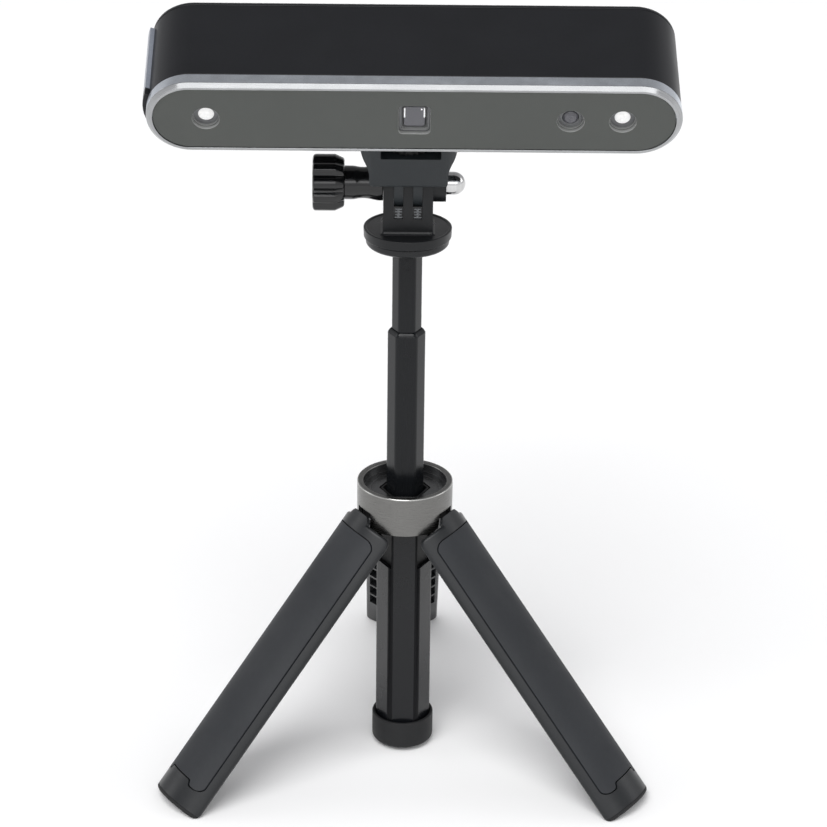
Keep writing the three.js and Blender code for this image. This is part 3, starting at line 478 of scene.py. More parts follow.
def blasted_metal(name, colour, roughness, metallic=1.0, depth=6e-6):
    """Anodised metal with a bead-blasted skin."""
    finish = Finish(name, colour, roughness, metallic)
    finish.shade(finish.noise(60, 4), 0.93, 1.06)
    grains = finish.noise(3800, 2)
    finish.shade(grains, 0.9, 1.1)
    finish.worn(finish.noise(400, 4), roughness - 0.05, roughness + 0.06)
    finish.raise_by(grains, depth)
    return finish.done()


def drawn_tube(name, colour, roughness, ior):
    """Coated tube with faint lines along Z."""
    finish = Finish(name, colour, roughness, ior=ior)
    lines = finish.noise(5200, 3, (1.0, 1.0, 0.012))
    finish.shade(lines, 0.9, 1.1)
    finish.shade(finish.noise(80, 3), 0.94, 1.06)
    finish.worn(finish.noise(260, 4, (1, 1, 0.1)), roughness - 0.05, roughness + 0.07)
    finish.raise_by(lines, 2e-6)
    return finish.done()


def soft_grip(name, colour, roughness):
    """Soft-touch rubber: a matt, slightly dusty skin with a fine pebble."""
    finish = Finish(name, colour, roughness, ior=1.45)
    finish.shade(finish.noise(26, 5), 0.93, 1.08)
    finish.shade(finish.noise(700, 3), 0.95, 1.05)
    finish.worn(finish.noise(60, 5), roughness - 0.06, roughness + 0.08)
    finish.raise_by(finish.cells(2400), 12e-6)
    finish.raise_by(finish.noise(5200, 2), 6e-6)
    return finish.done()


def clear(name, colour, alpha, roughness, ior):
    """A tinted pane: a little haze in its colour, and what is behind it shows through."""
    finish = Finish(name, colour, roughness, ior=ior, alpha=alpha)
    finish.shade(finish.noise(30, 3), 0.96, 1.04)
    finish.worn(finish.noise(160, 4), roughness * 0.8, roughness * 1.3)
    return finish.done()


def circuit():
    finish = Finish("board_green", (0.1, 0.27, 0.17), 0.45)
    finish.shade(finish.cells(900), 0.6, 1.2, 0.1, 0.6)
    finish.worn(finish.noise(600, 3), 0.3, 0.6)
    finish.raise_by(finish.cells(900), 0.00002)
    return finish.done()


BLACK_SHELL = moulded("shell_black", (0.088, 0.092, 0.104), 0.38, grain=2300, depth=5e-6, ior=1.35, spread=0.018)
BEZEL_SATIN = blasted_metal("bezel_satin", (0.815, 0.835, 0.862), 0.34, depth=3e-6)
BEZEL_CUT = turned_metal("bezel_cut", (0.64, 0.645, 0.65), 0.2, lines=2500, axis="Y", depth=5e-7)
WINDOW = clear("window_grey", (0.258, 0.269, 0.257), 0.93, 0.07, 1.5)
# A paler, less clear finish for the openings' walls and the rims behind them: a painted highlight, as at the
# openings' lower edges.
PANE_EDGE_HIGHLIGHT = clear("window_edge_painted_highlight", (0.5, 0.505, 0.5), 0.97, 0.3, 1.5)
MASK = blasted_metal("window_print", (0.3, 0.31, 0.295), 0.5, metallic=0.2)
BARREL = turned_metal("barrel_grey", (0.4, 0.405, 0.41), 0.4, axis="Y", depth=1e-6, metallic=0.2)
LENS = clear("lens_grey", (0.33, 0.33, 0.35), 0.96, 0.06, 1.6)
# Near-white for the discs over the infra-red cameras and the bars by the projector's glass: painted reflections and
# glints of the lights.
GLINT_WHITE = moulded("painted_glint_white", (0.99, 0.99, 0.985), 0.3, depth=2e-6, spread=0.02)
MOUNT = moulded("mount_grey", (0.11, 0.128, 0.14), 0.5, depth=6e-6, ior=1.45)
PRONGS = moulded("prong_black", (0.075, 0.08, 0.087), 0.32, depth=4e-6, ior=1.36)
# Paler than the prongs: the ribs in the slots are painted pale as highlights.
RIBS_GLINT = moulded("slot_rib_painted_glint", (0.34, 0.35, 0.36), 0.3, depth=4e-6)
KNOB = moulded("knob_black", (0.05, 0.052, 0.057), 0.16, depth=2e-6, ior=1.52, spread=0.04)
CHROME = turned_metal("nut_chrome", (0.8, 0.8, 0.8), 0.07, lines=1500, axis="X", depth=5e-7)
STEEL = turned_metal("steel", (0.66, 0.67, 0.68), 0.28)
STEEL_X = turned_metal("steel_across", (0.66, 0.67, 0.68), 0.28, axis="X")
BRASS = turned_metal("brass", (0.72, 0.58, 0.3), 0.3)
BOARD = circuit()
WHEEL = blasted_metal("wheel_black", (0.07, 0.07, 0.075), 0.4, metallic=0.5)
POLE = drawn_tube("pole_dark", (0.07, 0.076, 0.084), 0.2, 1.31)
DISC = moulded("disc_black", (0.085, 0.09, 0.098), 0.28, depth=3e-6, ior=1.38)
COLLAR = turned_metal("collar_taupe", (0.462, 0.46, 0.452), 0.28)
# The collar's taupe darkened: painted shade inside the cup.
CUP_SHADE = turned_metal("cup_taupe_painted_shade", (0.37, 0.372, 0.375), 0.26)
# A paler, smoother turned finish for the collar's top edge: a polished cut, with its paleness a painted highlight.
COLLAR_EDGE_HIGHLIGHT = turned_metal("collar_edge_painted_highlight", (0.7, 0.7, 0.69), 0.16, lines=3000, depth=5e-7)
LIP = moulded("bush_black", (0.03, 0.032, 0.036), 0.3, depth=2e-6, ior=1.3)
HUB = moulded("hub_black", (0.04, 0.042, 0.046), 0.6, ior=1.4)
COLUMN_COAT = moulded("column_dark", (0.07, 0.075, 0.086), 0.25, depth=2e-6, ior=1.38)
# A darker copy of the column's coat, for its corners: painted dark reflections.
COLUMN_CORNER_REFLECTION = moulded("column_corner_painted_reflection", (0.055, 0.058, 0.066), 0.35, depth=2e-6, ior=1.22)
RUBBER = soft_grip("rubber_dark", (0.052, 0.056, 0.064), 0.6)
LEG = moulded("leg_dark", (0.088, 0.096, 0.105), 0.36, depth=4e-6, ior=1.42)
GRIP = soft_grip("grip_dark", (0.105, 0.115, 0.131), 0.6)
# A pale strip on the head's left end: a painted reflection of the lights.
STRIP_SHEEN = moulded("strip_painted_sheen", (0.5, 0.52, 0.56), 0.32, depth=3e-6)
SOLE_RUBBER = soft_grip("sole_black", (0.07, 0.072, 0.076), 0.75)
LIGHT_GUIDE = clear("light_guide", (0.55, 0.75, 0.62), 0.9, 0.15, 1.49)


# ---- pieces ----
def piece(node, bm, group, materials, slot, bevel=0.0, smooth=32, segments=2, name=None):
    """Makes a piece from a solid in millimetres drawn in its group's frame, to stand for a CAD node."""
    place, body = group
    name = name or node + "_look"
    bmesh.ops.scale(bm, vec=(MM, MM, MM), verts=bm.verts)
    bmesh.ops.transform(bm, matrix=place, verts=bm.verts)
    mesh = mesh_from(bm, name)
    for face in mesh.polygons:
        face.use_smooth = True
    mesh.set_sharp_from_angle(angle=smooth * RAD)
    for material in materials if isinstance(materials, list) else [materials]:
        mesh.materials.append(material)
    thing = in_scene(name, mesh)
    if bevel:
        edge = thing.modifiers.new("edges", "BEVEL")
        edge.width, edge.segments = bevel * MM, segments
        edge.limit_method, edge.angle_limit = "ANGLE", smooth * RAD
        edge.use_clamp_overlap, edge.harden_normals = True, False
    weights = thing.modifiers.new("normals", "WEIGHTED_NORMAL")
    weights.keep_sharp, weights.weight = True, 80
    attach(thing, body)
    if node:
        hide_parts(node)


def paint(node, material):
    """A CAD node that stays gets its own finish."""
    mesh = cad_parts[node].data
    mesh.materials.clear()
    mesh.materials.append(material)


# ---- scanner head ----
def head_shell():
    sleeve = tube(stadium_in(0.1), stadium_in(SHELL_WALL), BEZEL_BACK + 0.12, SHELL_BACK, 0.3, "y")
    hole = rod(4.85, -HEAD_HEIGHT / 2 - 1, -HEAD_HEIGHT / 2 + 3, at=(-HEAD_OFFSET_X, 0))
    piece("head_shell", cut(sleeve, hole), ON_HEAD, BLACK_SHELL, "shell")


def end_strip():
    """A raised strip along the head's left end, pale as a painted reflection of the lights, and in the shell's
    black where it meets the bezel.
    """
    radius, reach, thick = HEAD_HEIGHT / 2 - 0.1, (HEAD_WIDTH - HEAD_HEIGHT) / 2, 1.3

    def outline(inset):
        half = 0.36 - inset / radius
        return (arc(-reach, 0, radius + thick - inset, math.pi - half, math.pi + half, 14)
                + arc(-reach, 0, radius - 0.4, math.pi + half, math.pi - half, 14))
    low, high, seam = BEZEL_BACK + 0.35, SHELL_BACK - 0.6, BEZEL_BACK + 3.2
    path = edge_steps(low, high, 0.35, 0.35)
    path.insert(len(path) // 2, (0.0, seam))
    # Faces behind the seam are pale, a painted reflection; those in front are the shell's black.
    strip = coloured(loft(drawn(outline, path), "y"), lambda middle, normal: middle.y < seam)
    piece(None, strip, ON_HEAD, [STRIP_SHEEN, BLACK_SHELL], "bezel", smooth=35, name="end_strip_look")


def front_bezel():
    """A ring whose satin band ends in a cut chamfer and a narrow land."""
    ledge, seat, knee = WINDOW_INSET + 1.3, WINDOW_FACE + 1.2, HEAD_FRONT + BEZEL_CHAMFER
    path = (shifted([(0.15, 0), (0.04, -0.05), (0.0, -0.15)], 0, BEZEL_BACK) + [(0.0, knee + 0.12), (0.04, knee)]
            + shifted([(0, 0.04), (0.14, 0)], BEZEL_CHAMFER, HEAD_FRONT)
            + shifted([(-0.2, 0), (-0.06, 0.06), (0, 0.2)], WINDOW_INSET, HEAD_FRONT)
            + [(WINDOW_INSET, seat), (ledge, seat), (ledge, BEZEL_BACK)])
    ring = coloured(loft(drawn(stadium, path), "y", closed=True), lambda middle, normal: middle.y < knee + 0.06)
    piece("front_bezel", ring, ON_HEAD, [BEZEL_SATIN, BEZEL_CUT], "bezel", smooth=25)


def opening(x, outline, flare=0.18):
    """A cutter for a hole in the window, flared at the front so that the hole has a bevelled edge."""
    path = [(-flare - 0.4, -0.4), (-flare * 0.35, flare * 0.35), (-0.02, flare), (0.0, flare + 0.3), (0.0, 3)]
    return moved(loft(drawn(outline, shifted(path, 0, WINDOW_FACE)), "y"), (x, 0, 0))


def front_window():
    """The pane, with an opening for each camera and for the projector, and a print on its back."""
    def holes():
        cameras = [opening(x, lambda inset: circle(3.9 - inset, 64)) for x in (-CAMERA_X, CAMERA_X, COLOUR_X)]
        return cameras + [opening(0, oblong(9.0, 10.3, 1.3, ease=0.8))]
    pane = cut(bar(stadium_in(WINDOW_INSET + 0.1), WINDOW_FACE, PANE_BACK - 0.02, 0.12, 0.05, "y"), *holes())
    reach = HEAD_WIDTH / 2 - HEAD_HEIGHT / 2
    # The openings' walls take the paler finish, a painted highlight; the rest is the pane.
    coloured(pane, lambda middle, normal: 2 * (abs(middle.x) < reach and abs(middle.z) < 6 and abs(normal.y) < 0.9))
    sheet = cut(bar(stadium_in(WINDOW_INSET + 0.2), PANE_BACK, PANE_BACK + 0.08, axis="y"), *holes())
    coloured(sheet, lambda middle, normal: 1)
    piece("front_window", together(pane, sheet), ON_HEAD, [WINDOW, MASK, PANE_EDGE_HIGHLIGHT], "window", smooth=40)


def camera_barrel(node, x, rings=()):
    """A barrel that ends in a flat face behind its opening in the window, with fine rings turned into the face."""
    radius, front, rim = 3.85, OPTICS_FRONT, BARREL_RIM
    profile = [(radius, OPTICS_BACK)] + shifted([(0, 0.06), (-0.04, 0), (-0.2, 0), (-0.24, 0.06)], radius, rim)
    profile.append((radius - 0.25, front))
    for ring in rings:
        profile += shifted([(0.16, 0), (0.08, -0.12), (-0.08, -0.12), (-0.16, 0)], ring, front)
    profile += [(2.45, front), (2.4, front + 0.05), (2.35, front + 0.5), (2.35, OPTICS_BACK)]
    # The rim in front of the face takes the pane's paler edge finish, a painted highlight.
    barrel = coloured(lathe(profile, 64, "y"), lambda middle, normal: middle.y < front - 0.2)
    box = block((-4.8, 4.8), (OPTICS_BACK, -5.5), (-4.8, 4.8), 0.4)
    piece(node, moved(together(barrel, box), (x, 0, 0)), ON_HEAD, [BARREL, PANE_EDGE_HIGHLIGHT], "barrel")


def camera_lens(node, x, finish, rise, rings=()):
    """A low dome in its barrel: a white disc over an infra-red camera, which is a painted reflection of the lights,
    and stepped glass over the other.
    """
    radius, seat = 2.3, OPTICS_FRONT + 0.2
    dome = [(0, seat + 2.0), (radius - 0.1, seat + 2.0), (radius, seat)]
    for turn in quarter_turns(16)[1:]:
        out = radius * math.cos(turn)
        step = 0.12 if any(abs(out - ring) < 0.12 for ring in rings) else 0.0
        dome.append((out, seat - rise * math.sin(turn) - step))
    dome[-1] = (0, dome[-1][1])
    piece(node, moved(lathe(dome, 64, "y"), (x, 0, 0)), ON_HEAD, finish, "lens")


def projector():
    """A frame that steps inwards behind its opening, its lower walls painted pale as a highlight, round a glass
    block between two near-white bars that are painted glints, with a third small one.
    """
    start = BARREL_RIM
    path = [(0.0, -7.2)] + shifted([(0, 0.1), (0.05, 0), (0.5, 0), (0.55, 0.06), (0.57, 0.75), (0.62, 0.8),
                                    (0.86, 0.8), (0.9, 0.86), (0.92, 1.5), (1.0, 1.55), (1.2, 1.55),
                                    (1.2, 2.4)], 0, start)

    # The lower walls of the first steps take the paler finish: a painted highlight, as the light falls on them.
    def highlit_lower_wall(middle, normal):
        return abs(normal.y) < 0.5 and -5.05 < middle.z < 0 and start < middle.y < start + 1.6
    body = coloured(loft(drawn(oblong(8.9, 10.2, 1.2, ease=0.8), path), "y"), highlit_lower_wall)
    piece("projector_body", body, ON_HEAD, [BARREL, PANE_EDGE_HIGHLIGHT], "barrel", smooth=28)
    front = start + 0.35
    path = shifted([(0.6, 0), (0.3, 0.03), (0.1, 0.15), (0.0, 0.4), (0.0, 3.0)], 0, front)
    lens = loft(drawn(oblong(6.3, 7.4, 0.9, ease=0.8), path), "y")
    # Two upright bars and a small block beside the glass, in near-white: painted glints.
    glint_bars = [block((x - 0.22, x + 0.22), (front - 0.15, front + 0.4), (-0.2, 3.4), 0.15) for x in (-2.85, 2.85)]
    glint_bars.append(block((1.8, 2.3), (front - 0.12, front + 0.4), (2.55, 3.15), 0.15))
    glint_bars = [coloured(slim_part, lambda middle, normal: 1) for slim_part in glint_bars]
    piece("projector_lens", together(lens, *glint_bars), ON_HEAD, [LENS, GLINT_WHITE], "lens", smooth=28)


def at_screws(make):
    """One of something for each cover screw."""
    return [moved(make(), (x, 0, z)) for x in (-SCREW_X, SCREW_X) for z in (-SCREW_Z, SCREW_Z)]


def rear_cover():
    back = HEAD_BACK

    def well():
        wall = shifted([(2.35, 0.05), (2.1, -0.2), (2.1, -1.3), (1.2, -1.3)], 0, back)
        return lathe([(0, 40), (2.35, 40)] + wall + [(1.2, 0), (0, 0)], 40, "y")
    dish = lathe(shifted([(0, 2), (7.0, 2), (5.6, 0), (4.6, -0.55), (0, -0.55)], 0, back), 64, "y")
    vents = [moved(bar(rounded(1.2, 10, 0.55), 0, 30, axis="y"), (3 * vent - 7.5, 0, 0)) for vent in range(6)]
    tools = [moved(bar(rounded(9.4, 4.0, 1.7), 0, 30, axis="y"), (USB_X, 0, 0)),
             rod(4.3, 0, 30, axis="y", at=(BUTTON_X, 0)), moved(dish, (BUTTON_X, 0, 0)),
             rod(1.25, 0, 30, axis="y", at=(LIGHT_X, 0), sides=32), *at_screws(well), *vents]
    plate = bar(stadium_in(0.1), SHELL_BACK + 0.12, back, 0.2, 1.6, "y")
    piece("rear_cover", cut(plate, *tools), ON_HEAD, BLACK_SHELL, "shell")


def cover_screws():
    seat, top = HEAD_BACK - 1.25, HEAD_BACK - 0.15

    def screw():
        head = soft_lathe([(0, 11), (1.0, 11), (1.0, seat), (1.9, seat), (1.9, top - 0.1), (1.2, top), (0, top)],
                          [0.1, 0.02, 0.05, 0.2, 0.3], 40, "y")
        long, narrow = (-1.0, 1.0), (-0.2, 0.2)
        return cut(head, *[block(x, (top - 0.55, top + 1), z) for x, z in ((long, narrow), (narrow, long))])
    for number, solid in enumerate(at_screws(screw), 1):
        piece(f"cover_screw_{number}", solid, ON_HEAD, STEEL, "steel")


def usb_socket():
    shell = tube(oblong(8.6, 3.2, 1.55, ease=0.9), oblong(8.0, 2.6, 1.25, ease=0.9), 11, HEAD_BACK - 0.4, 0.1, "y")
    tongue = block((-3.3, 3.3), (11.2, HEAD_BACK - 1.6), (-0.35, 0.35), 0.12)
    socket = joined(shell, bar(rounded(8.2, 2.8, 1.3), 11.1, 12.2, axis="y"))
    piece("usb_socket", moved(together(socket, tongue), (USB_X, 0, 0)), ON_HEAD, STEEL, "steel")


def button_and_light():
    top = HEAD_BACK + 0.6
    cap = soft_lathe([(0, 14.2), (4.9, 14.2), (4.9, 15.4), (4.0, 15.4), (4.0, top), (2.4, top - 0.25),
                      (0, top - 0.35)], [0.1, 0.1, 0.05, 0.45, 0.8], 72, "y")
    piece("scan_button", moved(cap, (BUTTON_X, 0, 0)), ON_BUTTON, PRONGS, "barrel")
    slim_part = soft_lathe([(0, 14), (1.1, 14), (1.1, HEAD_BACK - 0.1), (0, HEAD_BACK + 0.05)], [0.1, 0.25], 40, "y")
    piece("status_light", moved(slim_part, (LIGHT_X, 0, 0)), ON_HEAD, LIGHT_GUIDE, "light")


# ---- mount and tilt joint ----
def mount_body():
    """Wide round the wheel, with sloping shoulders down to a narrower waist, on two tongues."""
    half, waist, top = MOUNT_WIDTH / 2, MOUNT_WAIST, MOUNT_TOP + 1
    plan = bar(oblong(MOUNT_WIDTH, MOUNT_DEPTH, 4.5, 8), MOUNT_BOTTOM, MOUNT_TOP, 0, 0.4)
    outline = filleted(
        [(half, top), (-half, top), (-half, SHOULDER_HIGH), (-waist, SHOULDER_LOW), (-waist, MOUNT_BOTTOM),
         (waist, MOUNT_BOTTOM), (waist, SHOULDER_LOW), (half, SHOULDER_HIGH)],
        [0, 0, 8.0, 2.6, 3.0, 3.0, 2.6, 8.0], 10)
    height = 2 * (MOUNT_TOP - MOUNT_BOTTOM)
    flank = moved(bar(rounded(MOUNT_DEPTH, height, 2.5, 8), -FAR, FAR, axis="x"), (0, 0, MOUNT_TOP))
    body = kept(plan, bar(outline, -FAR, FAR, axis="y"), flank)
    # The tongues step back in front, above the axis, to clear the prong base's ribs at full tilt.
    side = arc(0, 0, TONGUE_RADIUS, -math.pi, 0, 32) + [
        (TONGUE_RADIUS, MOUNT_BOTTOM + 1), (-5.7, MOUNT_BOTTOM + 1), (-5.7, 5.4), (-TONGUE_RADIUS, 3.2)]
    near, far = SLOT_INNER + 0.03, SLOT_OUTER - 0.03
    body = joined(body, *[bar(side, *span, axis="x") for span in ((-far, -near), (near, far))])
    tools = [
        block((0.6 - SLOT_WIDTH / 2, 0.6 + SLOT_WIDTH / 2), (-FAR, FAR), (SLOT_BOTTOM, SLOT_TOP), 0.5),
        rod(WHEEL_RADIUS + 0.3, SLOT_BOTTOM, SLOT_TOP, sides=72),
        rod(3.4, SLOT_TOP - 1, 30),
        rod(BOLT_HOLE, -FAR, FAR, axis="x"),
    ]
    piece("mount_body", cut(body, *tools), ON_MOUNT, MOUNT, "mount", bevel=0.35, smooth=38, segments=3)


def mount_trim():
    bore = oblong(13, 11, 5, 10)
    pad = tube(oblong(MOUNT_WIDTH - 1.8, MOUNT_DEPTH - 1.8, 3.8, 10),
               lambda inset: [(u * 0.5, v * 0.6) for u, v in bore(inset)], MOUNT_TOP + 0.05, HEAD_SEAT - 0.05, 0.15)
    piece("mount_pad", pad, ON_MOUNT, RUBBER, "rubber")
    low, high = SLOT_BOTTOM + 0.35, SLOT_TOP - 0.35
    rings = []
    for inset, depth, ease in (1.4, 0.02, 0), (0.5, 0.1, 0.15), (0, 0.5, 0.75):
        knurled = waved(WHEEL_RADIUS - inset, depth, 36, 6, 0.7, 1)
        rings += [(knurled, low + ease), (knurled, high - ease)]
    rings.sort(key=lambda ring: ring[1])
    piece("mount_wheel", cut(loft(rings), rod(3.2, 0, 40)), ON_WHEEL, WHEEL, "wheel")


def prong_base():
    down, top = FLANGE_BOTTOM - TILT_Z, FLANGE_TOP - TILT_Z
    half, wide, rim = PRONG_DEPTH / 2, PRONG_WIDTH / 2, FLANGE_RADIUS
    flange = soft_lathe([(0, down), (rim - 0.1, down), *shifted([(0, 0), (-0.75, 0), (-1.1, -0.25)], rim, top),
                         (0, top - 0.25)], [0.3, 0.25, 0.12, 0.1], 128)
    outline = [(-half, top - 0.5)] + arc(0, 0, half, math.pi, 0, 40) + [(half, top - 0.5)]
    spans = (-SLOT_OUTER, -SLOT_INNER), (SLOT_INNER, SLOT_OUTER)
    slots = [block(span, (-FAR, FAR), (-9.3, FAR)) for span in spans]
    body = joined(cut(bar(outline, -wide, wide, axis="x"), *slots), flange)
    skirt = loft([(rounded(2 * (wide + grow), 2 * (half + grow), 0.4 + grow * 0.8), top + height)
                  for grow, height in ((0.8, -0.4), (0.75, -0.1), (0.35, 0.12), (0.05, 0.7))])
    boss = rod(5.6, wide - 0.3, BOSS_END, axis="x", sides=72)
    groove = lathe(shifted([(4.2, -0.4), (4.7, -0.4), (4.7, 1), (4.2, 1)], 0, BOSS_END), 72, "x")
    body = cut(joined(body, skirt, boss), groove, rod(BOLT_HOLE, -FAR, FAR, axis="x"), rod(3.3, down - 1, -9.8))
    piece("prong_base", body, ON_SWIVEL, PRONGS, "prongs", bevel=0.22, smooth=40, segments=3)
    # Ribs in each slot, in a paler finish that paints their highlights.
    ribs = []
    for middle in (sum(span) / 2 for span in spans):
        for height, width in ((-8.85, 1.25), (-7.95, 1.05), (-7.05, 1.2), (-6.2, 1.1)):
            ribs.append(block((middle - width, middle + width), (-6.15, -5.7), (height - 0.25, height + 0.25), 0.2))
        ribs.append(block((middle - 0.35, middle + 0.35), (-6.05, -5.6), (-9.1, -6.0), 0.15))
    piece("prong_base", together(*ribs), ON_SWIVEL, RIBS_GLINT, "prongs", name="prong_base_ribs")


def clamp_knob():
    """A lobed grip with a dished end and a sloping shoulder, on a waisted neck."""
    end, start, full = KNOB_NECK_END, -PRONG_WIDTH / 2 - 0.04, KNOB_RADIUS
    far_face = (4.9, 0, 0.8), (5.6, 0, 0.5), (6.1, 0, 0.12), (6.5, 0.2, 0), (7.9, 0.9, 0.06), (8.45, 1.1, 0.35)
    near_face = (8.55, 1.2, -2.5), (7.6, 0.7, -0.5), (7.3, 0.5, -0.15), (6.8, 0.2, 0), (5.3, 0, 0.02), (4.9, 0, 0.3)
    rings = []
    for base, rows in (KNOB_END, (*far_face, (full, 1.25, 0.9))), (end, ((full, 1.25, -2.9), *near_face)):
        for radius, depth, along in rows:
            # Ten round lobes with narrow valleys between them, one lobe at the top.
            lobed = [(v, u) for u, v in waved(radius, depth, 10, 14, 2.4, -1)]
            rings.append((lobed, base + along))
    waist = shifted([(0, -1), (5.1, -1), (5.1, 2.9), (4.72, 4.6), (4.72, 6.4)], 0, end)
    neck = soft_lathe(waist + shifted([(5.4, -1.4), (5.4, -0.1), (5.1, 0), (0, 0)], 0, start),
                      [0, 1.2, 1.2, 1.2, 1.0, 0.15, 0.15], 72, "x", 6)
    body = cut(joined(loft(rings, "x"), neck), rod(KNOB_BORE, KNOB_END + 2.5, 0, axis="x"))
    piece("clamp_knob", body, ON_KNOB, KNOB, "knob", smooth=36)


def acorn_nut():
    """A domed nut on a washer face."""
    start, radius = BOSS_END + 0.1, 3.5
    dome = shifted([(0, 0), (radius, 0), (radius, 0.3), (radius, 0.35), (radius, 2.2)], 0, start)
    dome += [(radius * math.cos(turn), start + 2.2 + 3.55 * math.sin(turn)) for turn in quarter_turns(12)[1:-1]]
    dome.append((0.0, start + 5.75))
    solid = cut(lathe(dome, 96, "x"), rod(KNOB_BORE, 0, 15.5, axis="x"))
    piece("acorn_nut", solid, ON_SWIVEL, CHROME, "chrome", smooth=50)


# ---- pole ----
def dimple(across, height):
    """A ball that presses a small dent into the front flat of a hexagon."""
    press, sink, face = 4.2, 0.3, across * math.cos(30 * RAD)
    profile = [(press * math.sin(math.pi * k / 24), -press * math.cos(math.pi * k / 24)) for k in range(25)]
    profile[0], profile[-1] = (0, -press), (0, press)
    return moved(lathe(profile, 40, "y"), (0, -(face + press - sink), height))


def poles():
    upper = tube(hexagonal(UPPER_LOOK, 1.4, ease=0.9), hexagonal(UPPER_BORE, 0.7), UPPER_BOTTOM, UPPER_TOP, 0.25)
    upper = cut(upper, dimple(UPPER_LOOK, 166.6), dimple(UPPER_LOOK, 170.2))
    piece("upper_pole", upper, ON_UPPER, POLE, "pole")
    top = LOWER_TOP
    path = edge_steps(LOWER_BOTTOM, top - 1.5, 0.3, 0)
    path += shifted([(0.0, -1.3), (0.06, -1.1), (0.55, -0.35), (0.8, -0.1), (0.95, 0)], 0, top)
    rings = drawn(hexagonal(LOWER_LOOK, 1.8, ease=0.9), path) + hexagons((
        (MOUTH + 0.12, 1.2, top), (MOUTH, 1.1, top - 0.15), (MOUTH, 1.1, top - 2.9),
        (LOWER_BORE, 1.2, top - 3.0), (LOWER_BORE, 1.2, LOWER_BOTTOM)))
    piece("lower_pole", cut(loft(rings, closed=True), dimple(LOWER_LOOK, 137)), ON_LOWER, POLE, "pole")


def pole_head():
    top, low, rim = FLANGE_BOTTOM - 0.1, DISC_BOTTOM, DISC_RADIUS
    disc = soft_lathe([(0, low), (5.6, low), (rim - 0.7, low + 0.15), (rim, low + 0.9),
                       (rim, top - 0.25), (rim - 0.35, top), (0, top)], [0.3, 0.4, 0.4, 0.1, 0.1], 128)
    plug = bar(lambda inset: hexagon(UPPER_BORE - 0.1 - inset, 0.7), 163, low + 0.5, 0.2)
    piece("pole_head", cut(joined(disc, plug), rod(5.1, 173.9, 180)), ON_UPPER, DISC, "pole")


# ---- tripod base ----
def around_legs(make):
    return [spun(make(), azimuth * RAD) for azimuth in LEG_AZIMUTHS.values()]


def tab_notch():
    mouth, low, knee, half = NOTCH_HALF + NOTCH_FLARE, COLLAR_BOTTOM, COLLAR_BOTTOM + 2, NOTCH_HALF
    points = [(-mouth, low - 1), (mouth, low - 1), (mouth, low + 0.1), (half, knee), (half, NOTCH_TOP),
              (-half, NOTCH_TOP), (-half, knee), (-mouth, low + 0.1)]
    return bar(filleted(points, [0, 0, 0.8, 0.8, 0.7, 0.7, 0.8, 0.8]), 5, FAR, axis="x")


def collar_ring():
    top, low, floor, rim, cup = COLLAR_TOP, COLLAR_BOTTOM, CUP_FLOOR, COLLAR_RADIUS, CUP_RADIUS
    profile = [(SKIRT_BORE, low)] + shifted([(-0.35, 0), (-0.1, 0.1), (0, 0.35)], rim, low)
    profile += shifted([(0, -0.4), (-0.06, -0.2), (-0.18, -0.07), (-0.36, 0)], rim, top)
    profile += shifted([(0.5, 0), (0.3, -0.05), (0.05, -0.3), (0, -0.5)], cup, top)
    profile += shifted([(0, 0.25), (-0.07, 0.07), (-0.25, 0)], cup, floor)
    profile += shifted([(10.9, 0), (10.75, -0.12), (10.6, -0.12), (10.45, 0), (7.2, 0), (7.2, -1),
                        (SKIRT_BORE, -1)], 0, floor)
    solid = cut(lathe(profile, 144), *around_legs(tab_notch), bar(hexagon(8.2, 1, 6), 80, 100))

    def zone(middle, normal):
        """The top edge, polished and painted paler as a highlight; the notch walls, the underside and the skirt's
        inside, painted in the hub's black as shade; the cup, painted darker as shade; or the band.
        """
        out = math.hypot(middle.x, middle.y)
        radial = abs(normal.x * middle.x + normal.y * middle.y) / max(out, 0.1)
        if top - 0.42 < middle.z < top and out > rim - 0.38:
            return 1
        # Notch walls, underside and the skirt's inside get the hub's black: painted shade.
        if middle.z < NOTCH_TOP + 0.5 and (out < SKIRT_BORE + 0.1 or radial < 0.7 and out > SKIRT_BORE - 0.1):
            return 2
        return 3 if out < cup + 0.1 else 0
    piece("collar_ring", coloured(solid, zone), ON_BASE, [COLLAR, COLLAR_EDGE_HIGHLIGHT, HUB, CUP_SHADE], "collar",
          bevel=0.12, smooth=40)


def leg_hub():
    body = rod(HUB_RADIUS, HUB_BOTTOM, HUB_TOP, sides=96, soft=0.3)
    spigot = bar(lambda inset: hexagon(COLUMN_BORE - 0.25 - inset, 1.1), SPIGOT_BOTTOM, HUB_BOTTOM + 1, 0.3)
    bays = around_legs(lambda: block((7.8, FAR), (-BAY_HALF, BAY_HALF), (HUB_BOTTOM - 1, 87.8)))
    pins = around_legs(lambda: rod(PIN + 0.1, -9.5, 9.5, axis="y", at=(HINGE_OUT, HINGE_UP), sides=24))
    solid = cut(joined(body, spigot), bar(hexagon(LOWER + 0.4, 1.2), 50, 100), bar(hexagon(8.1, 1), 86, 100),
                *bays, *pins)
    piece("leg_hub", solid, ON_BASE, HUB, "hub", bevel=0.2, smooth=40)


def column_bush():
    """The hexagonal guide in the cup's floor, with a rolled lip and a slope down to the pole."""
    low, high = 86.1, CUP_FLOOR - 0.02
    rings = hexagons((
        (7.75, 1.6, low), (7.95, 1.6, low + 0.2), (7.95, 1.6, high - 0.5), (7.87, 1.6, high - 0.25),
        (7.7, 1.5, high - 0.07), (7.45, 1.5, high), (7.15, 1.4, high - 0.05), (6.95, 1.4, high - 0.25),
        (LOWER + 0.42, 1.4, high - 0.95), (LOWER + 0.36, 1.4, high - 1.1), (LOWER + 0.36, 1.4, low)))
    piece("column_bush", loft(rings, closed=True), ON_BASE, LIP, "lip")


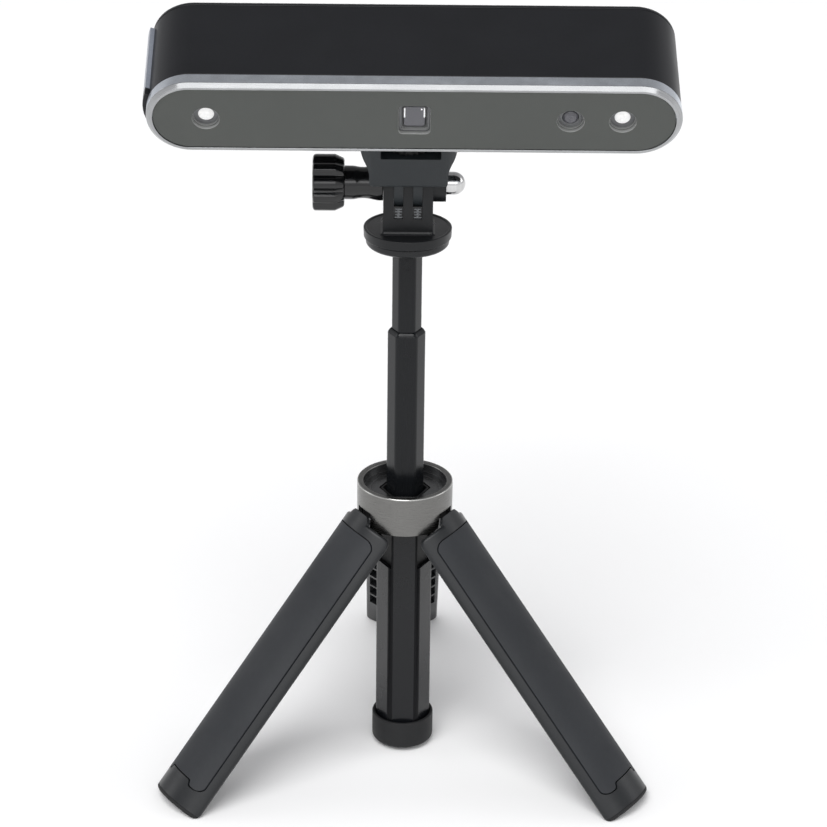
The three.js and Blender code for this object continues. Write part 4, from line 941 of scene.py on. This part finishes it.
def column_tube():
    walls = tube(hexagonal(COLUMN_LOOK, 2.5, 8, 0.9), hexagonal(COLUMN_BORE, 0.8, 8), CAP_FLOOR + 0.2,
                 COLUMN_TOP, 0.25)
    solid = cut(walls, *around_legs(
        lambda: block((5.5, 12), (-RECESS_HALF, RECESS_HALF), (RECESS_SILL, COLUMN_TOP + 1))))

    # Faces round each corner of the hexagon take the darker finish: painted dark reflections along the corners.
    def corner(middle, normal):
        turn = math.degrees(math.atan2(normal.y, normal.x)) % 60
        outside = math.hypot(middle.x, middle.y) > COLUMN_BORE + 0.3
        return abs(normal.z) < 0.3 and min(turn, 60 - turn) < 22 and outside
    piece("column_tube", coloured(solid, corner), ON_BASE, [COLUMN_COAT, COLUMN_CORNER_REFLECTION], "column",
          bevel=0.2, smooth=45)


def column_cap():
    bore, rim, soft = COLUMN + 0.2, CAP_RADIUS, CAP_ROUNDING
    profile = [(0, 0), (rim - soft, 0)]
    profile += [(rim - soft + soft * math.sin(turn), soft - soft * math.cos(turn)) for turn in quarter_turns(8)[1:]]
    profile += shifted([(0, -0.45), (-0.1, -0.15), (-0.35, 0)], rim, CAP_RIM)
    profile += shifted([(0.2, 0), (0.05, -0.1), (0, -0.3)], bore, CAP_RIM) + [(bore, CAP_FLOOR), (0, CAP_FLOOR)]
    piece("column_cap", lathe(profile, 112), ON_BASE, RUBBER, "rubber", smooth=40)


# ---- legs, drawn closed round the column, then opened by their frame ----
def slice_bar(inner, outer, low, high, half=LEG_HALF):
    return bar(sector(inner, outer, half, 0), low, high)


def pad_outline(grow):
    """Rounded corners, and a shallow recess between two lobes at the foot."""
    half, top, bottom = PAD_HALF + grow, PAD_TOP + grow, PAD_BOTTOM - grow
    recess, step, corner = 1.8, 5 - grow, 2.6 + grow
    edge = [(step, bottom + recess), (step + 0.5, bottom + recess - 0.35),
            (step + 1, bottom + 0.35), (step + 1.5, bottom)]
    lobes = corner_arcs(-half + corner, half - corner, bottom + corner, top - corner, corner, 8)
    return [(-step, bottom + recess)] + edge + lobes + [(-u, v) for u, v in reversed(edge[1:])]


def ground():
    """What lies below the floor when the leg is open, in the closed leg's frame."""
    slab = moved(block((0, 200), (-40, 40), (-60, -FOOT_DROP)), (-HINGE_OUT, 0, -HINGE_UP))
    return moved(spun(slab, LEG_OPEN, "Y"), (HINGE_OUT, 0, HINGE_UP))


def leg_tab():
    outline = [(HINGE_OUT - KNUCKLE, SHOULDER - 3), (LEG_RADIUS + 2, SHOULDER - 3),
               (LEG_RADIUS + 2, HINGE_UP - 4.6), (HINGE_OUT + 2.1, HINGE_UP - 0.93)]
    outline += arc(HINGE_OUT, HINGE_UP, KNUCKLE, -24 * RAD, math.pi, 24)
    return kept(bar(outline, -TAB_HALF, TAB_HALF, axis="y"), slice_bar(6.2, LEG_RADIUS, 0, 120))


def tab_root():
    """Shoulders beside the tab, which close the collar's notch from outside when the leg is folded."""
    wide, neck, low, top = TAB_HALF + 1.7, TAB_HALF + 0.25, SHOULDER + 0.7, SHOULDER + 2.2
    points = [(-wide, SHOULDER - 1), (wide, SHOULDER - 1), (wide, low), (neck, top), (-neck, top), (-wide, low)]
    web = bar(filleted(points, [0, 0, 0.5, 0.5, 0.5, 0.5]), 5, FAR, axis="x")
    return kept(web, slice_bar(HUB_RADIUS + 0.15, LEG_RADIUS, 60, 90))


def leg_body(inner, low, high):
    """A curved bar along the leg, with the leg's corners rounded as seen from outside and its ends eased."""
    corner, ease = LEG_CORNER, 0.9
    ends = [0, 0.06, 0.18, 0.35, 0.6, 0.9, 1.2, 1.6, 2.0, 2.5]
    heights = [LEG_END + step for step in ends] + [SHOULDER - step for step in ends]
    rings = []
    for height in sorted({round(min(max(height, low), high), 4) for height in heights}):
        near = min(height - LEG_END, SHOULDER - height)
        turn = (corner - math.sqrt(corner ** 2 - (corner - near) ** 2)) / LEG_RADIUS if near < corner else 0.0
        drop = ease - math.sqrt(ease ** 2 - (ease - near) ** 2) if near < ease else 0.0
        rings.append((sector(inner, LEG_RADIUS - drop, LEG_HALF - turn, 1.3), height))
    return loft(rings)


def leg_shell_solid():
    bottom = LEG_END + SOLE + 0.1
    body = leg_body(RIB_IN, bottom, SHOULDER)
    foot = slice_bar(SOLE_IN, RIB_IN + 0.5, bottom, POCKET_START - 1, LEG_HALF - 0.03)
    floors = [POCKET_START + pocket * POCKET_PITCH for pocket in range(POCKETS)]
    tools = [slice_bar(RIB_IN - 1.3, WALL_IN, floor, floor + POCKET_PITCH - RIB, LEG_HALF + 2 * RAD)
             for floor in floors]
    tools.append(slice_bar(RIB_IN - 1, WALL_IN + 0.2, SHOULDER - 0.7, SHOULDER + 0.5, 60 * RAD))
    body = joined(cut(joined(body, foot), *tools), leg_tab(), tab_root())
    bed = kept(bar(pad_outline(PAD_SEAM), 5, 30, axis="x"),
               slice_bar(LEG_RADIUS - PAD_THICK - 0.15, LEG_RADIUS + 2, -40, 90, LEG_HALF + 0.1))
    hole = rod(PIN + 0.12, -10, 10, axis="y", at=(HINGE_OUT, HINGE_UP), sides=24)
    return cut(body, bed, hole, ground())


def leg_pad_solid():
    return kept(bar(pad_outline(-0.12), 5, 30, axis="x"), slice_bar(LEG_RADIUS - PAD_THICK, LEG_RADIUS, -40, 90))


def leg_foot_solid():
    return cut(leg_body(SOLE_IN, LEG_END, LEG_END + SOLE), ground())


def legs():
    kinds = {"shell": (leg_shell_solid(), LEG, "leg", 0.3), "pad": (leg_pad_solid(), GRIP, "grip", 0.6),
             "foot": (leg_foot_solid(), SOLE_RUBBER, "rubber", 0.15)}
    for side in LEG_AZIMUTHS:
        for part, (solid, material, slot, edge) in kinds.items():
            piece(f"leg_{part}_{side}", solid.copy(), (leg_frame(side), "leg_" + side), material, slot,
                  bevel=edge, smooth=38, segments=3)


# ---- what stands round it: floor, light and camera ----
def stage():
    finish = Finish("floor_pale", (0.97, 0.97, 0.97), 0.75)
    finish.shade(finish.noise(3, 3), 0.99, 1.01)
    bm = bmesh.new()
    bm.faces.new([bm.verts.new((x * FLOOR_HALF, y * FLOOR_HALF, -FOOT_DROP * MM))
                  for x, y in ((-1, -1), (1, -1), (1, 1), (-1, 1))])
    floor = in_scene("floor", mesh_from(bm, "floor"))
    floor.data.materials.append(finish.done())


def lamp(name, kind, at, aim, energy, **values):
    light = bpy.data.lights.new(name, kind)
    light.energy = energy
    for key, value in values.items():
        setattr(light, key, value)
    holder = in_scene(name, light)
    holder.location = at
    holder.rotation_mode = "QUATERNION"
    holder.rotation_quaternion = (Vector(aim) - Vector(at)).to_track_quat("-Z", "Y")


def studio():
    """A sky that dims towards its top and its back, a broad key light, and three soft boxes."""
    world = bpy.data.worlds.new("studio")
    bpy.context.scene.world = world
    world.use_nodes = True
    nodes = Nodes(world.node_tree)

    def ramp(source, levels):
        band = nodes.node("ShaderNodeValToRGB", {"Fac": source})
        stops = band.color_ramp.elements
        for number, (position, level) in enumerate(levels):
            stop = stops[number] if number < 2 else stops.new(position)
            stop.position, stop.color = position, (level, level, level * 1.01, 1)
        return band.outputs["Color"]
    ways = nodes.node("ShaderNodeSeparateXYZ", {0: nodes.node("ShaderNodeTexCoord").outputs["Generated"]}).outputs
    height = ramp(ways["Z"], ((0.0, 1.0), (1.0, 0.36), (0.36, 0.92), (0.62, 0.58), (0.85, 0.42)))
    depth = nodes.node("ShaderNodeMapRange", {"From Min": -1.0, "Value": ways["Y"]}).outputs["Result"]
    away = ramp(depth, ((0.0, 1.0), (1.0, 0.5), (0.5, 0.95), (0.68, 0.8), (0.88, 0.55)))
    sky = nodes.node("ShaderNodeVectorMath", {0: height, 1: away}, operation="MULTIPLY")
    background = nodes.tree.nodes["Background"]
    nodes.feed(background.inputs["Color"], sky.outputs["Vector"])
    nodes.feed(background.inputs["Strength"], 1.0)
    middle = (0, 0, 0.1)
    lamp("key", "SUN", (-0.35, -0.95, 1.75), middle, 1.95, angle=38 * RAD)
    box = {"shape": "RECTANGLE"}
    lamp("front", "AREA", (0.12, -1.45, 0.82), (0, 0, 0.2), 5, **box, size=1.9, size_y=0.42)
    lamp("side_left", "AREA", (-1.7, 0.3, 0.9), middle, 3, **box, size=0.8, size_y=0.8)
    lamp("side_right", "AREA", (1.7, 0.2, 0.9), middle, 3, **box, size=0.8, size_y=0.8)


def view():
    """Where the photo was taken from, in metres, with its pitch, yaw and roll, from a fit of the photo."""
    spot, pitch, yaw, roll = (-0.0067, -0.8765, 0.524), 24.97 * RAD, 0.597 * RAD, 0.695 * RAD
    forward = Vector((math.sin(yaw) * math.cos(pitch), math.cos(yaw) * math.cos(pitch), -math.sin(pitch)))
    right = forward.cross(Vector((0, 0, 1))).normalized()
    up = right.cross(forward)
    across = right * math.cos(roll) + up * math.sin(roll)
    upward = up * math.cos(roll) - right * math.sin(roll)
    lens = bpy.data.cameras.new("camera")
    lens.lens, lens.sensor_width, lens.clip_start, lens.clip_end = 134.96, 36, 0.05, 50
    holder = in_scene("camera", lens)
    turn = Matrix((across, upward, -forward)).transposed().to_4x4()
    holder.matrix_world = Matrix.Translation(spot) @ turn
    bpy.context.scene.camera = holder


def cameras():
    sides = ("left", -CAMERA_X), ("right", CAMERA_X)
    for side, x in sides:
        camera_barrel("ir_camera_" + side, x)
    camera_barrel("colour_camera", COLOUR_X, rings=(3.1,))
    for side, x in sides:
        camera_lens("ir_lens_" + side, x, GLINT_WHITE, GLINT_DISC_RISE)
    camera_lens("colour_lens", COLOUR_X, LENS, GLASS_RISE, rings=(0.45, 1.55))


for make in (view, head_shell, end_strip, front_bezel, front_window, cameras, projector, rear_cover, cover_screws,
             usb_socket, button_and_light, mount_body, mount_trim, prong_base, clamp_knob, acorn_nut, poles,
             pole_head, collar_ring, leg_hub, column_bush, column_tube, column_cap, legs, stage, studio):
    make()
for coat, nodes in ((MASK, "sensor_bar"), (BOARD, "main_board"), (BRASS, "tripod_insert"), (STEEL_X, "clamp_bolt"),
                    (STEEL, "mount_screw head_stud leg_pin_left leg_pin_right leg_pin_rear"),
                    (HUB, "upper_pole_plug lower_pole_bush")):
    for node in nodes.split():
        paint(node, coat)
bpy.context.scene.view_settings.view_transform = "Standard"
